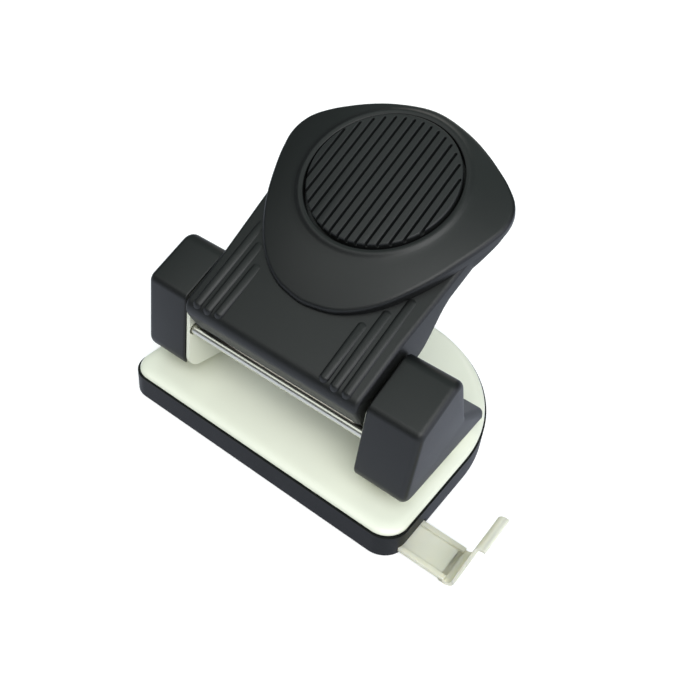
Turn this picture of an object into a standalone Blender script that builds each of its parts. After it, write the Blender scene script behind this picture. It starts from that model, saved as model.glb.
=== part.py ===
"""Two hole punch: a chip tray, a steel base plate with two punch brackets under black covers, and a hinged lever handle.

X runs to the right, Y from the front edge to the back, Z up. The origin is the centre of the tray's underside.
Setbacks are measured from the tray's front edge towards the back, heights from the tray's underside.
Handle sizes are in the handle's own frame: along it from the pivot, and above it, square to its top face.
"""

import math

import bmesh
import bpy
from mathutils import Vector

MM = 0.001

# Fits: what two pieces that touch keep between them, and how far a cutter runs past what it cuts.
SEAT_GAP = 0.3 * MM
RUNNING_GAP = 0.5 * MM
OVERRUN = 3 * MM

# Chip tray
TRAY_WIDTH = 101.2 * MM
TRAY_DEPTH = 83.6 * MM
TRAY_FRONT_CORNER = 7.8 * MM
TRAY_BACK_STRAIGHT = 11.8 * MM
TRAY_HEIGHT = 8.0 * MM
TRAY_FLOOR = 1.5 * MM
TRAY_FOOT_CHAMFER = 0.6 * MM
TRAY_DRAFT = 0.5 * MM
TRAY_LIP = 1.9 * MM
TRAY_LIP_ROUND = 0.3 * MM

# Steel base plate
PLATE_TOP = 10.2 * MM
PLATE_SHEET = 1.2 * MM
PLATE_INSET = 0.8 * MM
PLATE_EDGE_RUN = 4.0 * MM
PLATE_EDGE_DROP = 1.7 * MM

# Hole pattern
HOLE_SPACING = 80 * MM
PUNCH_SETBACK = 24.5 * MM
PUNCH_RADIUS = 2.75 * MM
PAPER_MARGIN = 12 * MM

# Punch brackets, bent from sheet
BRACKET_SHEET = 1.2 * MM
BRACKET_GAUGE = 1.4 * MM
BRACKET_INNER_FACE = 30.9 * MM
BRACKET_OUTER_FACE = 45.7 * MM
BRACKET_FRONT_LOW = 7.6 * MM
BRACKET_FRONT_HIGH = 9.7 * MM
BRACKET_NOSE_HEIGHT = 15.2 * MM
BRACKET_NOSE_ROUND = 5.0 * MM
BRACKET_SHOULDER_HEIGHT = 39.6 * MM
BRACKET_TOP_SETBACK = 26.4 * MM
BRACKET_TOP_HEIGHT = 46.9 * MM
BRACKET_BACK_SETBACK = 35.0 * MM
BRACKET_BACK_HEIGHT = 27.0 * MM
BRACKET_TAIL_HEIGHT = 17.5 * MM
BRACKET_TAIL_SETBACK = 48.3 * MM
BRACKET_CORNER_ROUND = 2.0 * MM
BRACKET_EAR_HEIGHT = 21.9 * MM
BRACKET_EAR_FRONT = 13.0 * MM
BRACKET_EAR_TAIL_HEIGHT = 14.4 * MM
THROAT_END = 22.0 * MM
THROAT_HEIGHT = 2.4 * MM
THROAT_MOUTH_HEIGHT = 4.9 * MM
GUIDE_COLLAR_TOP = 16.0 * MM
GUIDE_COLLAR_WALL = 1.2 * MM

# Die plates and rivets under and through the base plate
DIE_SHEET = 1.5 * MM
DIE_INNER = 33.5 * MM
DIE_OUTER = 45.0 * MM
DIE_FRONT = 18.0 * MM
DIE_BACK = 49.0 * MM
DIE_CORNER = 2.0 * MM
DIE_RELIEF = 0.4 * MM
RIVET_RADIUS = 1.5 * MM
RIVET_HEAD_RADIUS = 2.2 * MM
RIVET_HEAD_HEIGHT = 1.2 * MM
RIVET_TAIL_HEIGHT = 0.9 * MM
RIVET_OUT = 37.5 * MM
RIVET_SETBACKS = (40.8 * MM, 45.8 * MM)

# Side covers
COVER_INNER_FACE = 32.4 * MM
COVER_OUTER_FACE = 47.6 * MM
COVER_WALL = 1.6 * MM
COVER_BOTTOM = 14.8 * MM
COVER_FRONT_LOW = 6.6 * MM
COVER_FRONT_HIGH = 9.4 * MM
COVER_RIDGE_HEIGHT = 41.0 * MM
COVER_TOP_SETBACK = 27.5 * MM
COVER_TOP_HEIGHT = 49.2 * MM
COVER_BACK_SETBACK = 36.0 * MM
COVER_BACK_HEIGHT = 27.6 * MM
COVER_TAIL_SETBACK = 50.0 * MM
COVER_TAIL_HEIGHT = 18.9 * MM
COVER_END_SETBACK = 51.3 * MM
COVER_FOOT_ROUND = 4.5 * MM
COVER_RIDGE_ROUND = 2.0 * MM
COVER_TOP_ROUND = 4.5 * MM
COVER_SMALL_ROUND = 1.5 * MM
COVER_SIDE_ROUND = 1.4 * MM
COVER_STOP_LENGTH = 1.5 * MM
COVER_STOP_SIZE = 2.6 * MM

# Pivot shaft
PIVOT_SETBACK = 10.9 * MM
PIVOT_HEIGHT = 29.2 * MM
SHAFT_RADIUS = 1.5 * MM
SHAFT_HALF_LENGTH = 33.3 * MM

# Press bar, which pushes both punches down
PRESS_ANGLE = math.radians(24)
BAR_RADIUS = 2.5 * MM
BAR_PAST_PUNCH = 2.7 * MM
BAR_GROOVE_DEPTH = 0.5 * MM
BAR_CLIP_SHEET = 0.8 * MM
BAR_CLIP_RADIUS = 4.2 * MM
BAR_CLIP_MOUTH = 2.4 * MM

# Punches and their springs
PUNCH_LIFT = 0.8 * MM
PUNCH_HEAD_RADIUS = 4.0 * MM
PUNCH_HEAD_HEIGHT = 2.4 * MM
PUNCH_HEAD_CHAMFER = 0.4 * MM
PUNCH_CUP_DEPTH = 0.6 * MM
SPRING_WIRE_RADIUS = 0.35 * MM
SPRING_MEAN_RADIUS = 3.7 * MM
SPRING_TURNS = 5
SPRING_POINTS_PER_TURN = 10

# Handle shell, in the handle's frame
HANDLE_SLOPE = math.radians(27.7)
SHELL_HALF_WIDTH = 30.3 * MM
SHELL_FLARE = 1.3 * MM
SHELL_FLARE_START = 21.35 * MM
SHELL_FLARE_END = 41.35 * MM
SHELL_WAIST = 51.35 * MM
SHELL_FRONT = 0.65 * MM
SHELL_TOP = 14.16 * MM
SHELL_WALL = 1.8 * MM
SHELL_NOSE_ROUND = 4.0 * MM
SHELL_EDGE_ROUND = 1.2 * MM
SHELL_LIP_HEIGHT = 5.26 * MM
SKIRT_FRONT = 6.85 * MM
SKIRT_BACK = 26.35 * MM
SKIRT_HEIGHT = 0.26 * MM
SKIRT_RISE_SHARES = ((0.0, 0.0), (0.17, 0.1), (0.4, 0.36), (0.63, 0.66), (0.8, 0.86), (1.0, 1.0))
WAIST_HEIGHT = 8.76 * MM
SHELL_REAR_START = 61.85 * MM
SHELL_REAR_HEIGHT = 11.36 * MM
RIB_OFFSETS = (18.2 * MM, 21.8 * MM, 25.6 * MM)
RIB_STARTS = (5.75 * MM, 4.95 * MM, 4.95 * MM)
RIB_ENDS = (20.85 * MM, 26.35 * MM, 31.35 * MM)
RIB_WIDTH = 1.8 * MM
RIB_HEIGHT = 0.7 * MM

# Palm rest, a raised rim round the grip disc
PALM_CENTRE = 58.85 * MM
PALM_HALF_WIDTH = 36.4 * MM
PALM_FRONT_REACH = 40.7 * MM
PALM_REAR_REACH = 26.9 * MM
PALM_TOP = 20.16 * MM
PALM_FALL_RATE = 0.17
PALM_FALL_SPAN = 250 * MM
PALM_WALL = 1.8 * MM
PALM_EDGE_ROUND = 1.1 * MM
PALM_OVERHANG = 1.2 * MM
PALM_THIN_WALL = 0.9 * MM
PALM_FRONT_SHARES = (
    (0.0, 1.0),
    (0.115, 0.988),
    (0.27, 0.953),
    (0.426, 0.872),
    (0.558, 0.762),
    (0.681, 0.614),
    (0.777, 0.467),
    (0.852, 0.319),
    (0.907, 0.197),
    (0.964, 0.049),
)
PALM_REAR_SHARES = (
    (0.998, 0.12),
    (0.986, 0.3),
    (0.935, 0.436),
    (0.825, 0.568),
    (0.668, 0.7),
    (0.478, 0.833),
    (0.255, 0.94),
    (0.0, 1.0),
)
PALM_POINTS = 60
POCKET_RADIUS = 22.4 * MM
POCKET_DEPTH = 2.8 * MM
POCKET_FLOOR = 1.5 * MM

# Grip disc
DISC_RADIUS = 21.9 * MM
DISC_CHAMFER = 0.4 * MM
GROOVE_COUNT = 14
GROOVE_PITCH = 2.85 * MM
GROOVE_WIDTH = 0.9 * MM
GROOVE_DEPTH = 0.8 * MM
GROOVE_MARGIN = 1.0 * MM

# Lever plate under the shell
LEVER_SHEET = 1.4 * MM
LEVER_FRONT = 5.55 * MM
LEVER_EAR_FRONT = 3.75 * MM
LEVER_END = 71.35 * MM
LEVER_EAR_END = 25.35 * MM
LEVER_EAR_RING = 2.6 * MM
LEVER_BAR_RING = 4.2 * MM
LEVER_TAIL_HALF_WIDTH = 20.0 * MM

# Screws that hold lever plate, shell and palm rest together
SCREW_PLACES = ((-16.0 * MM, 35.85 * MM), (16.0 * MM, 35.85 * MM), (0.0, 65.35 * MM))
SCREW_RADIUS = 1.4 * MM
SCREW_HEAD_RADIUS = 2.8 * MM
SCREW_HEAD_HEIGHT = 1.6 * MM
SCREW_LENGTH = 5.6 * MM
SCREW_SLOT_WIDTH = 0.8 * MM
SCREW_SLOT_DEPTH = 0.8 * MM
BOSS_WALL = 1.3 * MM

# Paper gauge, drawn out to the right
GAUGE_FRONT = 4.8 * MM
GAUGE_WIDTH = 12.4 * MM
GAUGE_SHEET = 1.0 * MM
GAUGE_CLEAR = 0.3 * MM
GAUGE_RAIL_WIDTH = 1.6 * MM
GAUGE_RAIL_HEIGHT = 1.8 * MM
GAUGE_LIP_WIDTH = 1.0 * MM
GAUGE_LIP_HEIGHT = 0.6 * MM
GAUGE_INNER_END = -31.0 * MM
GAUGE_BEND = 64.4 * MM
GAUGE_TAB_HEIGHT = 22.6 * MM
GAUGE_TAB_LEAN = 3.0 * MM
GAUGE_TAB_CURL = 2.2 * MM
GAUGE_BEND_ROUND = 2.6 * MM
GAUGE_PUSH_IN = 14.0 * MM
CHANNEL_WALL = 1.2 * MM

ROUND_STEPS = 24
SMALL_ROUND_STEPS = 16
CORNER_STEPS = 4

# What follows from the sizes above
FRONT_Y = -TRAY_DEPTH / 2
TRAY_BACK_CORNER = (TRAY_WIDTH - TRAY_BACK_STRAIGHT) / 2
LIP_INSET = TRAY_DRAFT + TRAY_LIP
PLATE_UNDERSIDE = PLATE_TOP - PLATE_SHEET
PLATE_EDGE_BOTTOM = TRAY_HEIGHT + SEAT_GAP
PUNCH_X = HOLE_SPACING / 2
PUNCH_Y = FRONT_Y + PUNCH_SETBACK
GUIDE_RADIUS = PUNCH_RADIUS + SEAT_GAP
STOP_SETBACK = PUNCH_SETBACK + PAPER_MARGIN
FOOT_BOTTOM = PLATE_TOP + SEAT_GAP
FOOT_TOP = FOOT_BOTTOM + BRACKET_GAUGE
THROAT_TOP = PLATE_TOP + THROAT_HEIGHT
GUIDE_FLOOR_TOP = THROAT_TOP + BRACKET_GAUGE
DIE_TOP = PLATE_UNDERSIDE - SEAT_GAP
DIE_BOTTOM = DIE_TOP - DIE_SHEET
RIVET_HOLE_RADIUS = RIVET_RADIUS + SEAT_GAP
PIVOT_Y = FRONT_Y + PIVOT_SETBACK
SHAFT_HOLE_RADIUS = SHAFT_RADIUS + RUNNING_GAP
BAR_REACH = PUNCH_SETBACK - PIVOT_SETBACK
BAR_HALF_LENGTH = PUNCH_X + BAR_PAST_PUNCH
BAR_ARM = 2 * BAR_REACH / (1 + math.cos(PRESS_ANGLE / 2))
BAR_DROP = 2 * BAR_ARM * math.sin(PRESS_ANGLE / 2)
BAR_Y = PIVOT_Y + BAR_ARM * math.cos(PRESS_ANGLE / 2)
BAR_Z = PIVOT_HEIGHT + BAR_DROP / 2
BAR_ALONG = BAR_ARM * math.cos(HANDLE_SLOPE - PRESS_ANGLE / 2)
BAR_ABOVE = -BAR_ARM * math.sin(HANDLE_SLOPE - PRESS_ANGLE / 2)
PUNCH_HEAD_TOP = BAR_Z - BAR_RADIUS - SEAT_GAP
PUNCH_TIP = THROAT_TOP + PUNCH_LIFT
SPRING_BOTTOM = GUIDE_COLLAR_TOP + SEAT_GAP
SPRING_TOP = PUNCH_HEAD_TOP - PUNCH_HEAD_HEIGHT - SEAT_GAP
SHELL_CEILING = SHELL_TOP - SHELL_WALL
LEVER_TOP = SHELL_CEILING - SEAT_GAP
LEVER_BOTTOM = LEVER_TOP - LEVER_SHEET
LEVER_HALF_WIDTH = SHELL_HALF_WIDTH - SHELL_WALL - SEAT_GAP
LEVER_EAR_INNER = LEVER_HALF_WIDTH - LEVER_SHEET
PALM_BOTTOM = SHELL_TOP + SEAT_GAP
DISC_TOP = PALM_TOP - SEAT_GAP
POCKET_BOTTOM = PALM_TOP - POCKET_DEPTH
DISC_BOTTOM = POCKET_BOTTOM + SEAT_GAP
CHANNEL_TOP = GAUGE_LIP_HEIGHT + GAUGE_CLEAR + GAUGE_RAIL_HEIGHT - GAUGE_SHEET / 2 + GAUGE_CLEAR

SIDES = (("left", -1), ("right", 1))


def material(name, colour, roughness, metallic=0.0):
    """A Principled BSDF material of one colour."""
    made = bpy.data.materials.new(name)
    made.use_nodes = True
    shader = made.node_tree.nodes["Principled BSDF"]
    shader.inputs["Base Color"].default_value = (*colour, 1.0)
    shader.inputs["Roughness"].default_value = roughness
    shader.inputs["Metallic"].default_value = metallic
    made.diffuse_color = (*colour, 1.0)
    return made


def make(name, shape, surface=None, parent=None, origin=(0.0, 0.0, 0.0)):
    """Turns a bmesh into an object whose origin is at the given place."""
    bmesh.ops.translate(shape, verts=shape.verts, vec=-Vector(origin))
    mesh = bpy.data.meshes.new(name)
    shape.to_mesh(mesh)
    shape.free()
    mesh.shade_smooth()
    mesh.set_sharp_from_angle(angle=math.radians(35))
    made = bpy.data.objects.new(name, mesh)
    made.location = origin
    made.parent = parent
    bpy.context.scene.collection.objects.link(made)
    if surface:
        mesh.materials.append(surface)
    return made


def combine(target, tool, operation):
    """Adds or cuts a helper shape; the helper itself stays out of the model."""
    tool.hide_render = True
    tool.display_type = "WIRE"
    change = target.modifiers.new(tool.name, "BOOLEAN")
    change.operation = operation
    change.object = tool
    change.solver = "EXACT"


def cut(target, name, shape, parent=None):
    combine(target, make(target.name + "_" + name, shape, parent=parent), "DIFFERENCE")


def add(target, name, shape, parent=None):
    combine(target, make(target.name + "_" + name, shape, parent=parent), "UNION")


def loft(rings, closed=False):
    """Skins rings of points in order. It caps both ends, or joins the last ring to the first."""
    shape = bmesh.new()
    rows = [[shape.verts.new(point) for point in ring] for ring in rings]
    pairs = list(zip(rows, rows[1:]))
    if closed:
        pairs.append((rows[-1], rows[0]))
    for low, high in pairs:
        for here in range(len(low)):
            beyond = (here + 1) % len(low)
            shape.faces.new((low[here], low[beyond], high[beyond], high[here]))
    if not closed:
        shape.faces.new(reversed(rows[0]))
        shape.faces.new(rows[-1])
    bmesh.ops.recalc_face_normals(shape, faces=shape.faces)
    return shape


def together(*shapes):
    """Puts shapes that stay apart into one bmesh."""
    whole = bmesh.new()
    for shape in shapes:
        carrier = bpy.data.meshes.new("carrier")
        shape.to_mesh(carrier)
        shape.free()
        whole.from_mesh(carrier)
        bpy.data.meshes.remove(carrier)
    return whole


def slab(outline, low, high, axis="Z"):
    """Extrudes an outline along an axis. An outline for X is in (y, z), for Y in (x, z), for Z in (x, y)."""
    place = {
        "X": lambda a, b, along: (along, a, b),
        "Y": lambda a, b, along: (a, along, b),
        "Z": lambda a, b, along: (a, b, along),
    }[axis]
    return loft([[place(a, b, along) for a, b in outline] for along in (low, high)])


def block(low, high):
    """A box between two opposite corners."""
    outline = [(low[0], low[1]), (high[0], low[1]), (high[0], high[1]), (low[0], high[1])]
    return slab(outline, low[2], high[2])


def circle(radius, centre=(0.0, 0.0), steps=ROUND_STEPS):
    turns = [math.tau * step / steps for step in range(steps)]
    return [(centre[0] + radius * math.cos(turn), centre[1] + radius * math.sin(turn)) for turn in turns]


def turned(profile, centre, axis="Z", steps=ROUND_STEPS, closed=False):
    """A turned shape from (radius, place along the axis) pairs. The centre is in the plane square to the axis."""
    rings = []
    for radius, along in profile:
        outline = circle(radius, centre, steps)
        if axis == "X":
            rings.append([(along, a, b) for a, b in outline])
        else:
            rings.append([(a, b, along) for a, b in outline])
    return loft(rings, closed)


def fillet(corners, radii, steps=CORNER_STEPS):
    """Rounds the corners of a closed outline, each by its own radius."""
    outline = []
    for index, radius in enumerate(radii):
        corner = Vector(corners[index])
        before = (Vector(corners[index - 1]) - corner).normalized()
        after = (Vector(corners[(index + 1) % len(corners)]) - corner).normalized()
        opening = before.angle(after)
        if not radius or opening > math.radians(178):
            outline.append(tuple(corner))
            continue
        centre = corner + (before + after).normalized() * radius / math.sin(opening / 2)
        arm = corner + before * radius / math.tan(opening / 2) - centre
        sweep = math.copysign(math.pi - opening, after.cross(before))
        for step in range(steps + 1):
            turn = sweep * step / steps
            cosine, sine = math.cos(turn), math.sin(turn)
            outline.append(
                (centre.x + arm.x * cosine - arm.y * sine, centre.y + arm.x * sine + arm.y * cosine)
            )
    return outline


def inset(corners, distances):
    """Moves each edge of an outline that runs anticlockwise inwards. Edge i starts at corner i."""
    count = len(corners)
    lines = []
    for index in range(count):
        start = Vector(corners[index])
        along = (Vector(corners[(index + 1) % count]) - start).normalized()
        lines.append((start + Vector((-along.y, along.x)) * distances[index], along))
    moved = []
    for index in range(count):
        start, along = lines[index]
        other, other_along = lines[index - 1]
        turn = other_along.cross(along)
        if abs(turn) < 1e-6:
            moved.append(tuple(start))
            continue
        run = (start - other).cross(along) / turn
        moved.append(tuple(other + other_along * run))
    return moved


def smooth(points, steps):
    """Points on a curve through the given ones, with each stretch cut into steps."""
    found = []
    ends = [points[0], *points, points[-1]]
    for before, start, end, after in zip(ends, ends[1:], ends[2:], ends[3:]):
        for step in range(steps):
            t = step / steps
            found.append(
                tuple(
                    b
                    + 0.5 * t * (c - a + t * (2 * a - 5 * b + 4 * c - d + t * (3 * (b - c) + d - a)))
                    for a, b, c, d in zip(before, start, end, after)
                )
            )
    return [*found, points[-1]]


def tray_outline(margin):
    """The D-shaped plan of tray and plate, moved in by a margin."""
    side = TRAY_WIDTH / 2 - margin
    front = FRONT_Y + margin
    back = -FRONT_Y - margin
    corners = [(-side, front), (side, front), (side, back), (-side, back)]
    radii = [TRAY_FRONT_CORNER - margin] * 2 + [TRAY_BACK_CORNER - margin] * 2
    outline = []
    for index, steps in enumerate((CORNER_STEPS, CORNER_STEPS, ROUND_STEPS // 2, ROUND_STEPS // 2)):
        rounded = fillet(corners, [radius if place == index else 0 for place, radius in enumerate(radii)], steps)
        outline += rounded[index : index + steps + 1]
    return outline


def tray_ring(margin, height):
    return [(x, y, height) for x, y in tray_outline(margin)]


def behind_front(outline):
    """Turns (setback, height) pairs into (y, z)."""
    return [(FRONT_Y + setback, height) for setback, height in outline]


def build_tray(black):
    rings = [
        tray_ring(TRAY_FOOT_CHAMFER, 0.0),
        tray_ring(0.0, TRAY_FOOT_CHAMFER),
        tray_ring(TRAY_DRAFT, TRAY_HEIGHT - TRAY_LIP_ROUND),
        tray_ring(TRAY_DRAFT + TRAY_LIP_ROUND, TRAY_HEIGHT),
        tray_ring(LIP_INSET - TRAY_LIP_ROUND, TRAY_HEIGHT),
        tray_ring(LIP_INSET, TRAY_HEIGHT - TRAY_LIP_ROUND),
        tray_ring(LIP_INSET, TRAY_FLOOR),
    ]
    tray = make("base_tray", loft(rings), black)
    channel_front = FRONT_Y + GAUGE_FRONT - GAUGE_CLEAR
    channel_back = channel_front + GAUGE_WIDTH + 2 * GAUGE_CLEAR
    channel_end = GAUGE_INNER_END - GAUGE_PUSH_IN - GAUGE_CLEAR
    roof = block(
        (channel_end - CHANNEL_WALL, channel_front - CHANNEL_WALL, TRAY_FLOOR / 2),
        (TRAY_WIDTH / 2 - LIP_INSET / 2, channel_back + CHANNEL_WALL, CHANNEL_TOP + CHANNEL_WALL),
    )
    add(tray, "channel_roof", roof)
    channel = block(
        (channel_end, channel_front, GAUGE_LIP_HEIGHT),
        (TRAY_WIDTH / 2 + OVERRUN, channel_back, CHANNEL_TOP),
    )
    cut(tray, "channel", channel)
    slit = block(
        (channel_end, channel_front + GAUGE_CLEAR + GAUGE_LIP_WIDTH, -OVERRUN),
        (TRAY_WIDTH / 2 + OVERRUN, channel_back - GAUGE_CLEAR - GAUGE_LIP_WIDTH, CHANNEL_TOP / 2),
    )
    cut(tray, "slit", slit)


def build_gauge(ivory):
    """A strip with a raised rail along each edge, and an end tab that leans out and curls over."""
    front = FRONT_Y + GAUGE_FRONT
    back = front + GAUGE_WIDTH
    rail_low = GAUGE_LIP_HEIGHT + GAUGE_CLEAR
    rail_high = rail_low + GAUGE_RAIL_HEIGHT - GAUGE_SHEET / 2
    floor_low = GAUGE_CLEAR
    floor_high = floor_low + GAUGE_SHEET
    foot = GAUGE_LIP_WIDTH + GAUGE_CLEAR
    half = [
        (front + foot, floor_low),
        (front + foot, rail_low),
        (front, rail_low),
        (front, rail_high),
        (front + GAUGE_RAIL_WIDTH, rail_high),
        (front + GAUGE_RAIL_WIDTH, floor_high),
    ]
    other = [(front + back - y, z) for y, z in reversed(half)]
    gauge = make("paper_gauge", slab(half + other, GAUGE_INNER_END, GAUGE_BEND, "X"), ivory)
    middle = floor_low + GAUGE_SHEET / 2
    foot_of_tab = GAUGE_BEND + GAUGE_BEND_ROUND
    spine = smooth(
        [
            (GAUGE_BEND - GAUGE_BEND_ROUND / 2, middle),
            (GAUGE_BEND + GAUGE_BEND_ROUND / 2, middle + GAUGE_BEND_ROUND / 5),
            (foot_of_tab, middle + GAUGE_BEND_ROUND),
            (foot_of_tab + GAUGE_TAB_LEAN / 3, GAUGE_TAB_HEIGHT / 2),
            (foot_of_tab + GAUGE_TAB_LEAN * 2 / 3, GAUGE_TAB_HEIGHT * 5 / 6),
            (foot_of_tab + GAUGE_TAB_LEAN, GAUGE_TAB_HEIGHT - GAUGE_SHEET / 2),
            (foot_of_tab + GAUGE_TAB_LEAN + GAUGE_TAB_CURL, GAUGE_TAB_HEIGHT - GAUGE_SHEET / 2),
        ],
        3,
    )
    rings = []
    for index, point in enumerate(spine):
        ahead = Vector(spine[min(index + 1, len(spine) - 1)])
        along = (ahead - Vector(spine[max(index - 1, 0)])).normalized()
        across = Vector((-along.y, along.x)) * GAUGE_SHEET / 2
        inner = Vector(point) + across
        outer = Vector(point) - across
        rings.append(
            [(inner.x, front, inner.y), (inner.x, back, inner.y), (outer.x, back, outer.y), (outer.x, front, outer.y)]
        )
    add(gauge, "tab", loft(rings))


def build_plate(cream):
    quarter = [math.pi / 2 * step / CORNER_STEPS for step in range(CORNER_STEPS + 1)]
    rings = []
    for turn in quarter:
        margin = PLATE_INSET + PLATE_EDGE_RUN * (1 - math.sin(turn))
        rings.append(tray_ring(margin, PLATE_TOP - PLATE_EDGE_DROP * (1 - math.cos(turn))))
    rings.append(tray_ring(PLATE_INSET, PLATE_EDGE_BOTTOM))
    rings.append(tray_ring(PLATE_INSET + PLATE_SHEET, PLATE_EDGE_BOTTOM))
    inner_run = PLATE_EDGE_RUN - PLATE_SHEET
    inner_drop = PLATE_EDGE_DROP - PLATE_SHEET
    for turn in reversed(quarter):
        margin = PLATE_INSET + PLATE_SHEET + inner_run * (1 - math.sin(turn))
        rings.append(tray_ring(margin, PLATE_UNDERSIDE - inner_drop * (1 - math.cos(turn))))
    plate = make("base_plate", loft(rings), cream)
    holes = []
    for _, side in SIDES:
        holes.append((GUIDE_RADIUS, side * PUNCH_X, PUNCH_Y))
        for setback in RIVET_SETBACKS:
            holes.append((RIVET_HOLE_RADIUS, side * RIVET_OUT, FRONT_Y + setback))
    cut(plate, "holes", drilled(holes, PLATE_UNDERSIDE, PLATE_TOP))


def drilled(holes, low, high):
    """Cutters for upright round holes, given as (radius, x, y)."""
    shapes = []
    for radius, x, y in holes:
        profile = [(radius, low - OVERRUN), (radius, high + OVERRUN)]
        shapes.append(turned(profile, (x, y), steps=SMALL_ROUND_STEPS))
    return together(*shapes)


def bracket_wall():
    """Side view of the bracket's inner wall: nose, sloping top, back, tail and foot."""
    corners = behind_front(
        [
            (BRACKET_TAIL_SETBACK, FOOT_BOTTOM),
            (BRACKET_TAIL_SETBACK, BRACKET_TAIL_HEIGHT),
            (BRACKET_BACK_SETBACK, BRACKET_BACK_HEIGHT),
            (BRACKET_TOP_SETBACK, BRACKET_TOP_HEIGHT),
            (BRACKET_FRONT_HIGH, BRACKET_SHOULDER_HEIGHT),
            (BRACKET_FRONT_LOW, BRACKET_NOSE_HEIGHT),
            (THROAT_END, THROAT_TOP),
            (STOP_SETBACK, THROAT_TOP),
            (STOP_SETBACK, FOOT_BOTTOM),
        ]
    )
    radii = [0, BRACKET_CORNER_ROUND, BRACKET_CORNER_ROUND, BRACKET_CORNER_ROUND, BRACKET_CORNER_ROUND]
    return fillet(corners, radii + [BRACKET_NOSE_ROUND, BRACKET_CORNER_ROUND, 0, 0])


def bracket_floor():
    """Side view of the bracket's floor: lead-in, guide floor, paper stop and riveted foot."""
    mouth = PLATE_TOP + THROAT_MOUTH_HEIGHT
    return behind_front(
        [
            (BRACKET_EAR_FRONT, mouth),
            (THROAT_END, THROAT_TOP),
            (STOP_SETBACK, THROAT_TOP),
            (STOP_SETBACK, FOOT_BOTTOM),
            (BRACKET_TAIL_SETBACK, FOOT_BOTTOM),
            (BRACKET_TAIL_SETBACK, FOOT_TOP),
            (STOP_SETBACK + BRACKET_GAUGE, FOOT_TOP),
            (STOP_SETBACK + BRACKET_GAUGE, GUIDE_FLOOR_TOP),
            (THROAT_END, GUIDE_FLOOR_TOP),
            (BRACKET_EAR_FRONT, mouth + BRACKET_GAUGE),
        ]
    )


def bracket_ear():
    """Side view of the low outer wall that stiffens the bracket."""
    return behind_front(
        [
            (BRACKET_EAR_FRONT, PLATE_TOP + THROAT_MOUTH_HEIGHT),
            (THROAT_END, THROAT_TOP),
            (STOP_SETBACK, THROAT_TOP),
            (STOP_SETBACK, FOOT_BOTTOM),
            (BRACKET_TAIL_SETBACK, FOOT_BOTTOM),
            (BRACKET_TAIL_SETBACK, BRACKET_EAR_TAIL_HEIGHT),
            (STOP_SETBACK, BRACKET_EAR_HEIGHT),
            (BRACKET_EAR_FRONT, BRACKET_EAR_HEIGHT),
        ]
    )


def bar_window():
    """Side view of the slot that the press bar swings in."""
    reach = BAR_RADIUS + RUNNING_GAP
    front = min(BAR_Y, PIVOT_Y + BAR_ARM) - reach
    back = max(BAR_Y, PIVOT_Y + BAR_ARM) + reach
    low = BAR_Z - BAR_DROP - reach
    high = BAR_Z + reach
    return fillet([(front, low), (back, low), (back, high), (front, high)], [BAR_RADIUS] * 4)


def build_bracket(name, side, cream):
    inner = side * BRACKET_INNER_FACE
    wall_back = side * (BRACKET_INNER_FACE + BRACKET_SHEET)
    wall_middle = side * (BRACKET_INNER_FACE + BRACKET_SHEET / 2)
    ear_inner = side * (BRACKET_OUTER_FACE - BRACKET_GAUGE)
    ear_middle = side * (BRACKET_OUTER_FACE - BRACKET_GAUGE / 2)
    bracket = make(name + "_bracket", slab(bracket_wall(), inner, wall_back, "X"), cream)
    add(bracket, "floor", slab(bracket_floor(), wall_middle, ear_middle, "X"))
    add(bracket, "ear", slab(bracket_ear(), ear_inner, side * BRACKET_OUTER_FACE, "X"))
    collar_radius = GUIDE_RADIUS + GUIDE_COLLAR_WALL
    collar = [(collar_radius, THROAT_TOP + BRACKET_GAUGE / 2), (collar_radius, GUIDE_COLLAR_TOP)]
    add(bracket, "collar", turned(collar, (side * PUNCH_X, PUNCH_Y)))
    guide = [(GUIDE_RADIUS, THROAT_TOP - OVERRUN), (GUIDE_RADIUS, GUIDE_COLLAR_TOP + OVERRUN)]
    far_side = side * (BRACKET_INNER_FACE + BRACKET_SHEET + SEAT_GAP)
    near_side = side * (BRACKET_INNER_FACE - OVERRUN)
    shaft_hole = [(SHAFT_HOLE_RADIUS, near_side), (SHAFT_HOLE_RADIUS, far_side)]
    rivet_holes = [(RIVET_HOLE_RADIUS, side * RIVET_OUT, FRONT_Y + setback) for setback in RIVET_SETBACKS]
    openings = together(
        turned(guide, (side * PUNCH_X, PUNCH_Y)),
        turned(shaft_hole, (PIVOT_Y, PIVOT_HEIGHT), "X"),
        slab(bar_window(), near_side, far_side, "X"),
        drilled(rivet_holes, FOOT_BOTTOM, FOOT_TOP),
    )
    cut(bracket, "openings", openings)


def build_die(name, side, steel):
    corners = [
        (side * DIE_INNER, FRONT_Y + DIE_FRONT),
        (side * DIE_OUTER, FRONT_Y + DIE_FRONT),
        (side * DIE_OUTER, FRONT_Y + DIE_BACK),
        (side * DIE_INNER, FRONT_Y + DIE_BACK),
    ]
    die = make(name + "_die_plate", slab(fillet(corners, [DIE_CORNER] * 4), DIE_BOTTOM, DIE_TOP), steel)
    holes = [(GUIDE_RADIUS + DIE_RELIEF, side * PUNCH_X, PUNCH_Y)]
    for setback in RIVET_SETBACKS:
        holes.append((RIVET_HOLE_RADIUS, side * RIVET_OUT, FRONT_Y + setback))
    cut(die, "holes", drilled(holes, DIE_BOTTOM, DIE_TOP))


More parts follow.
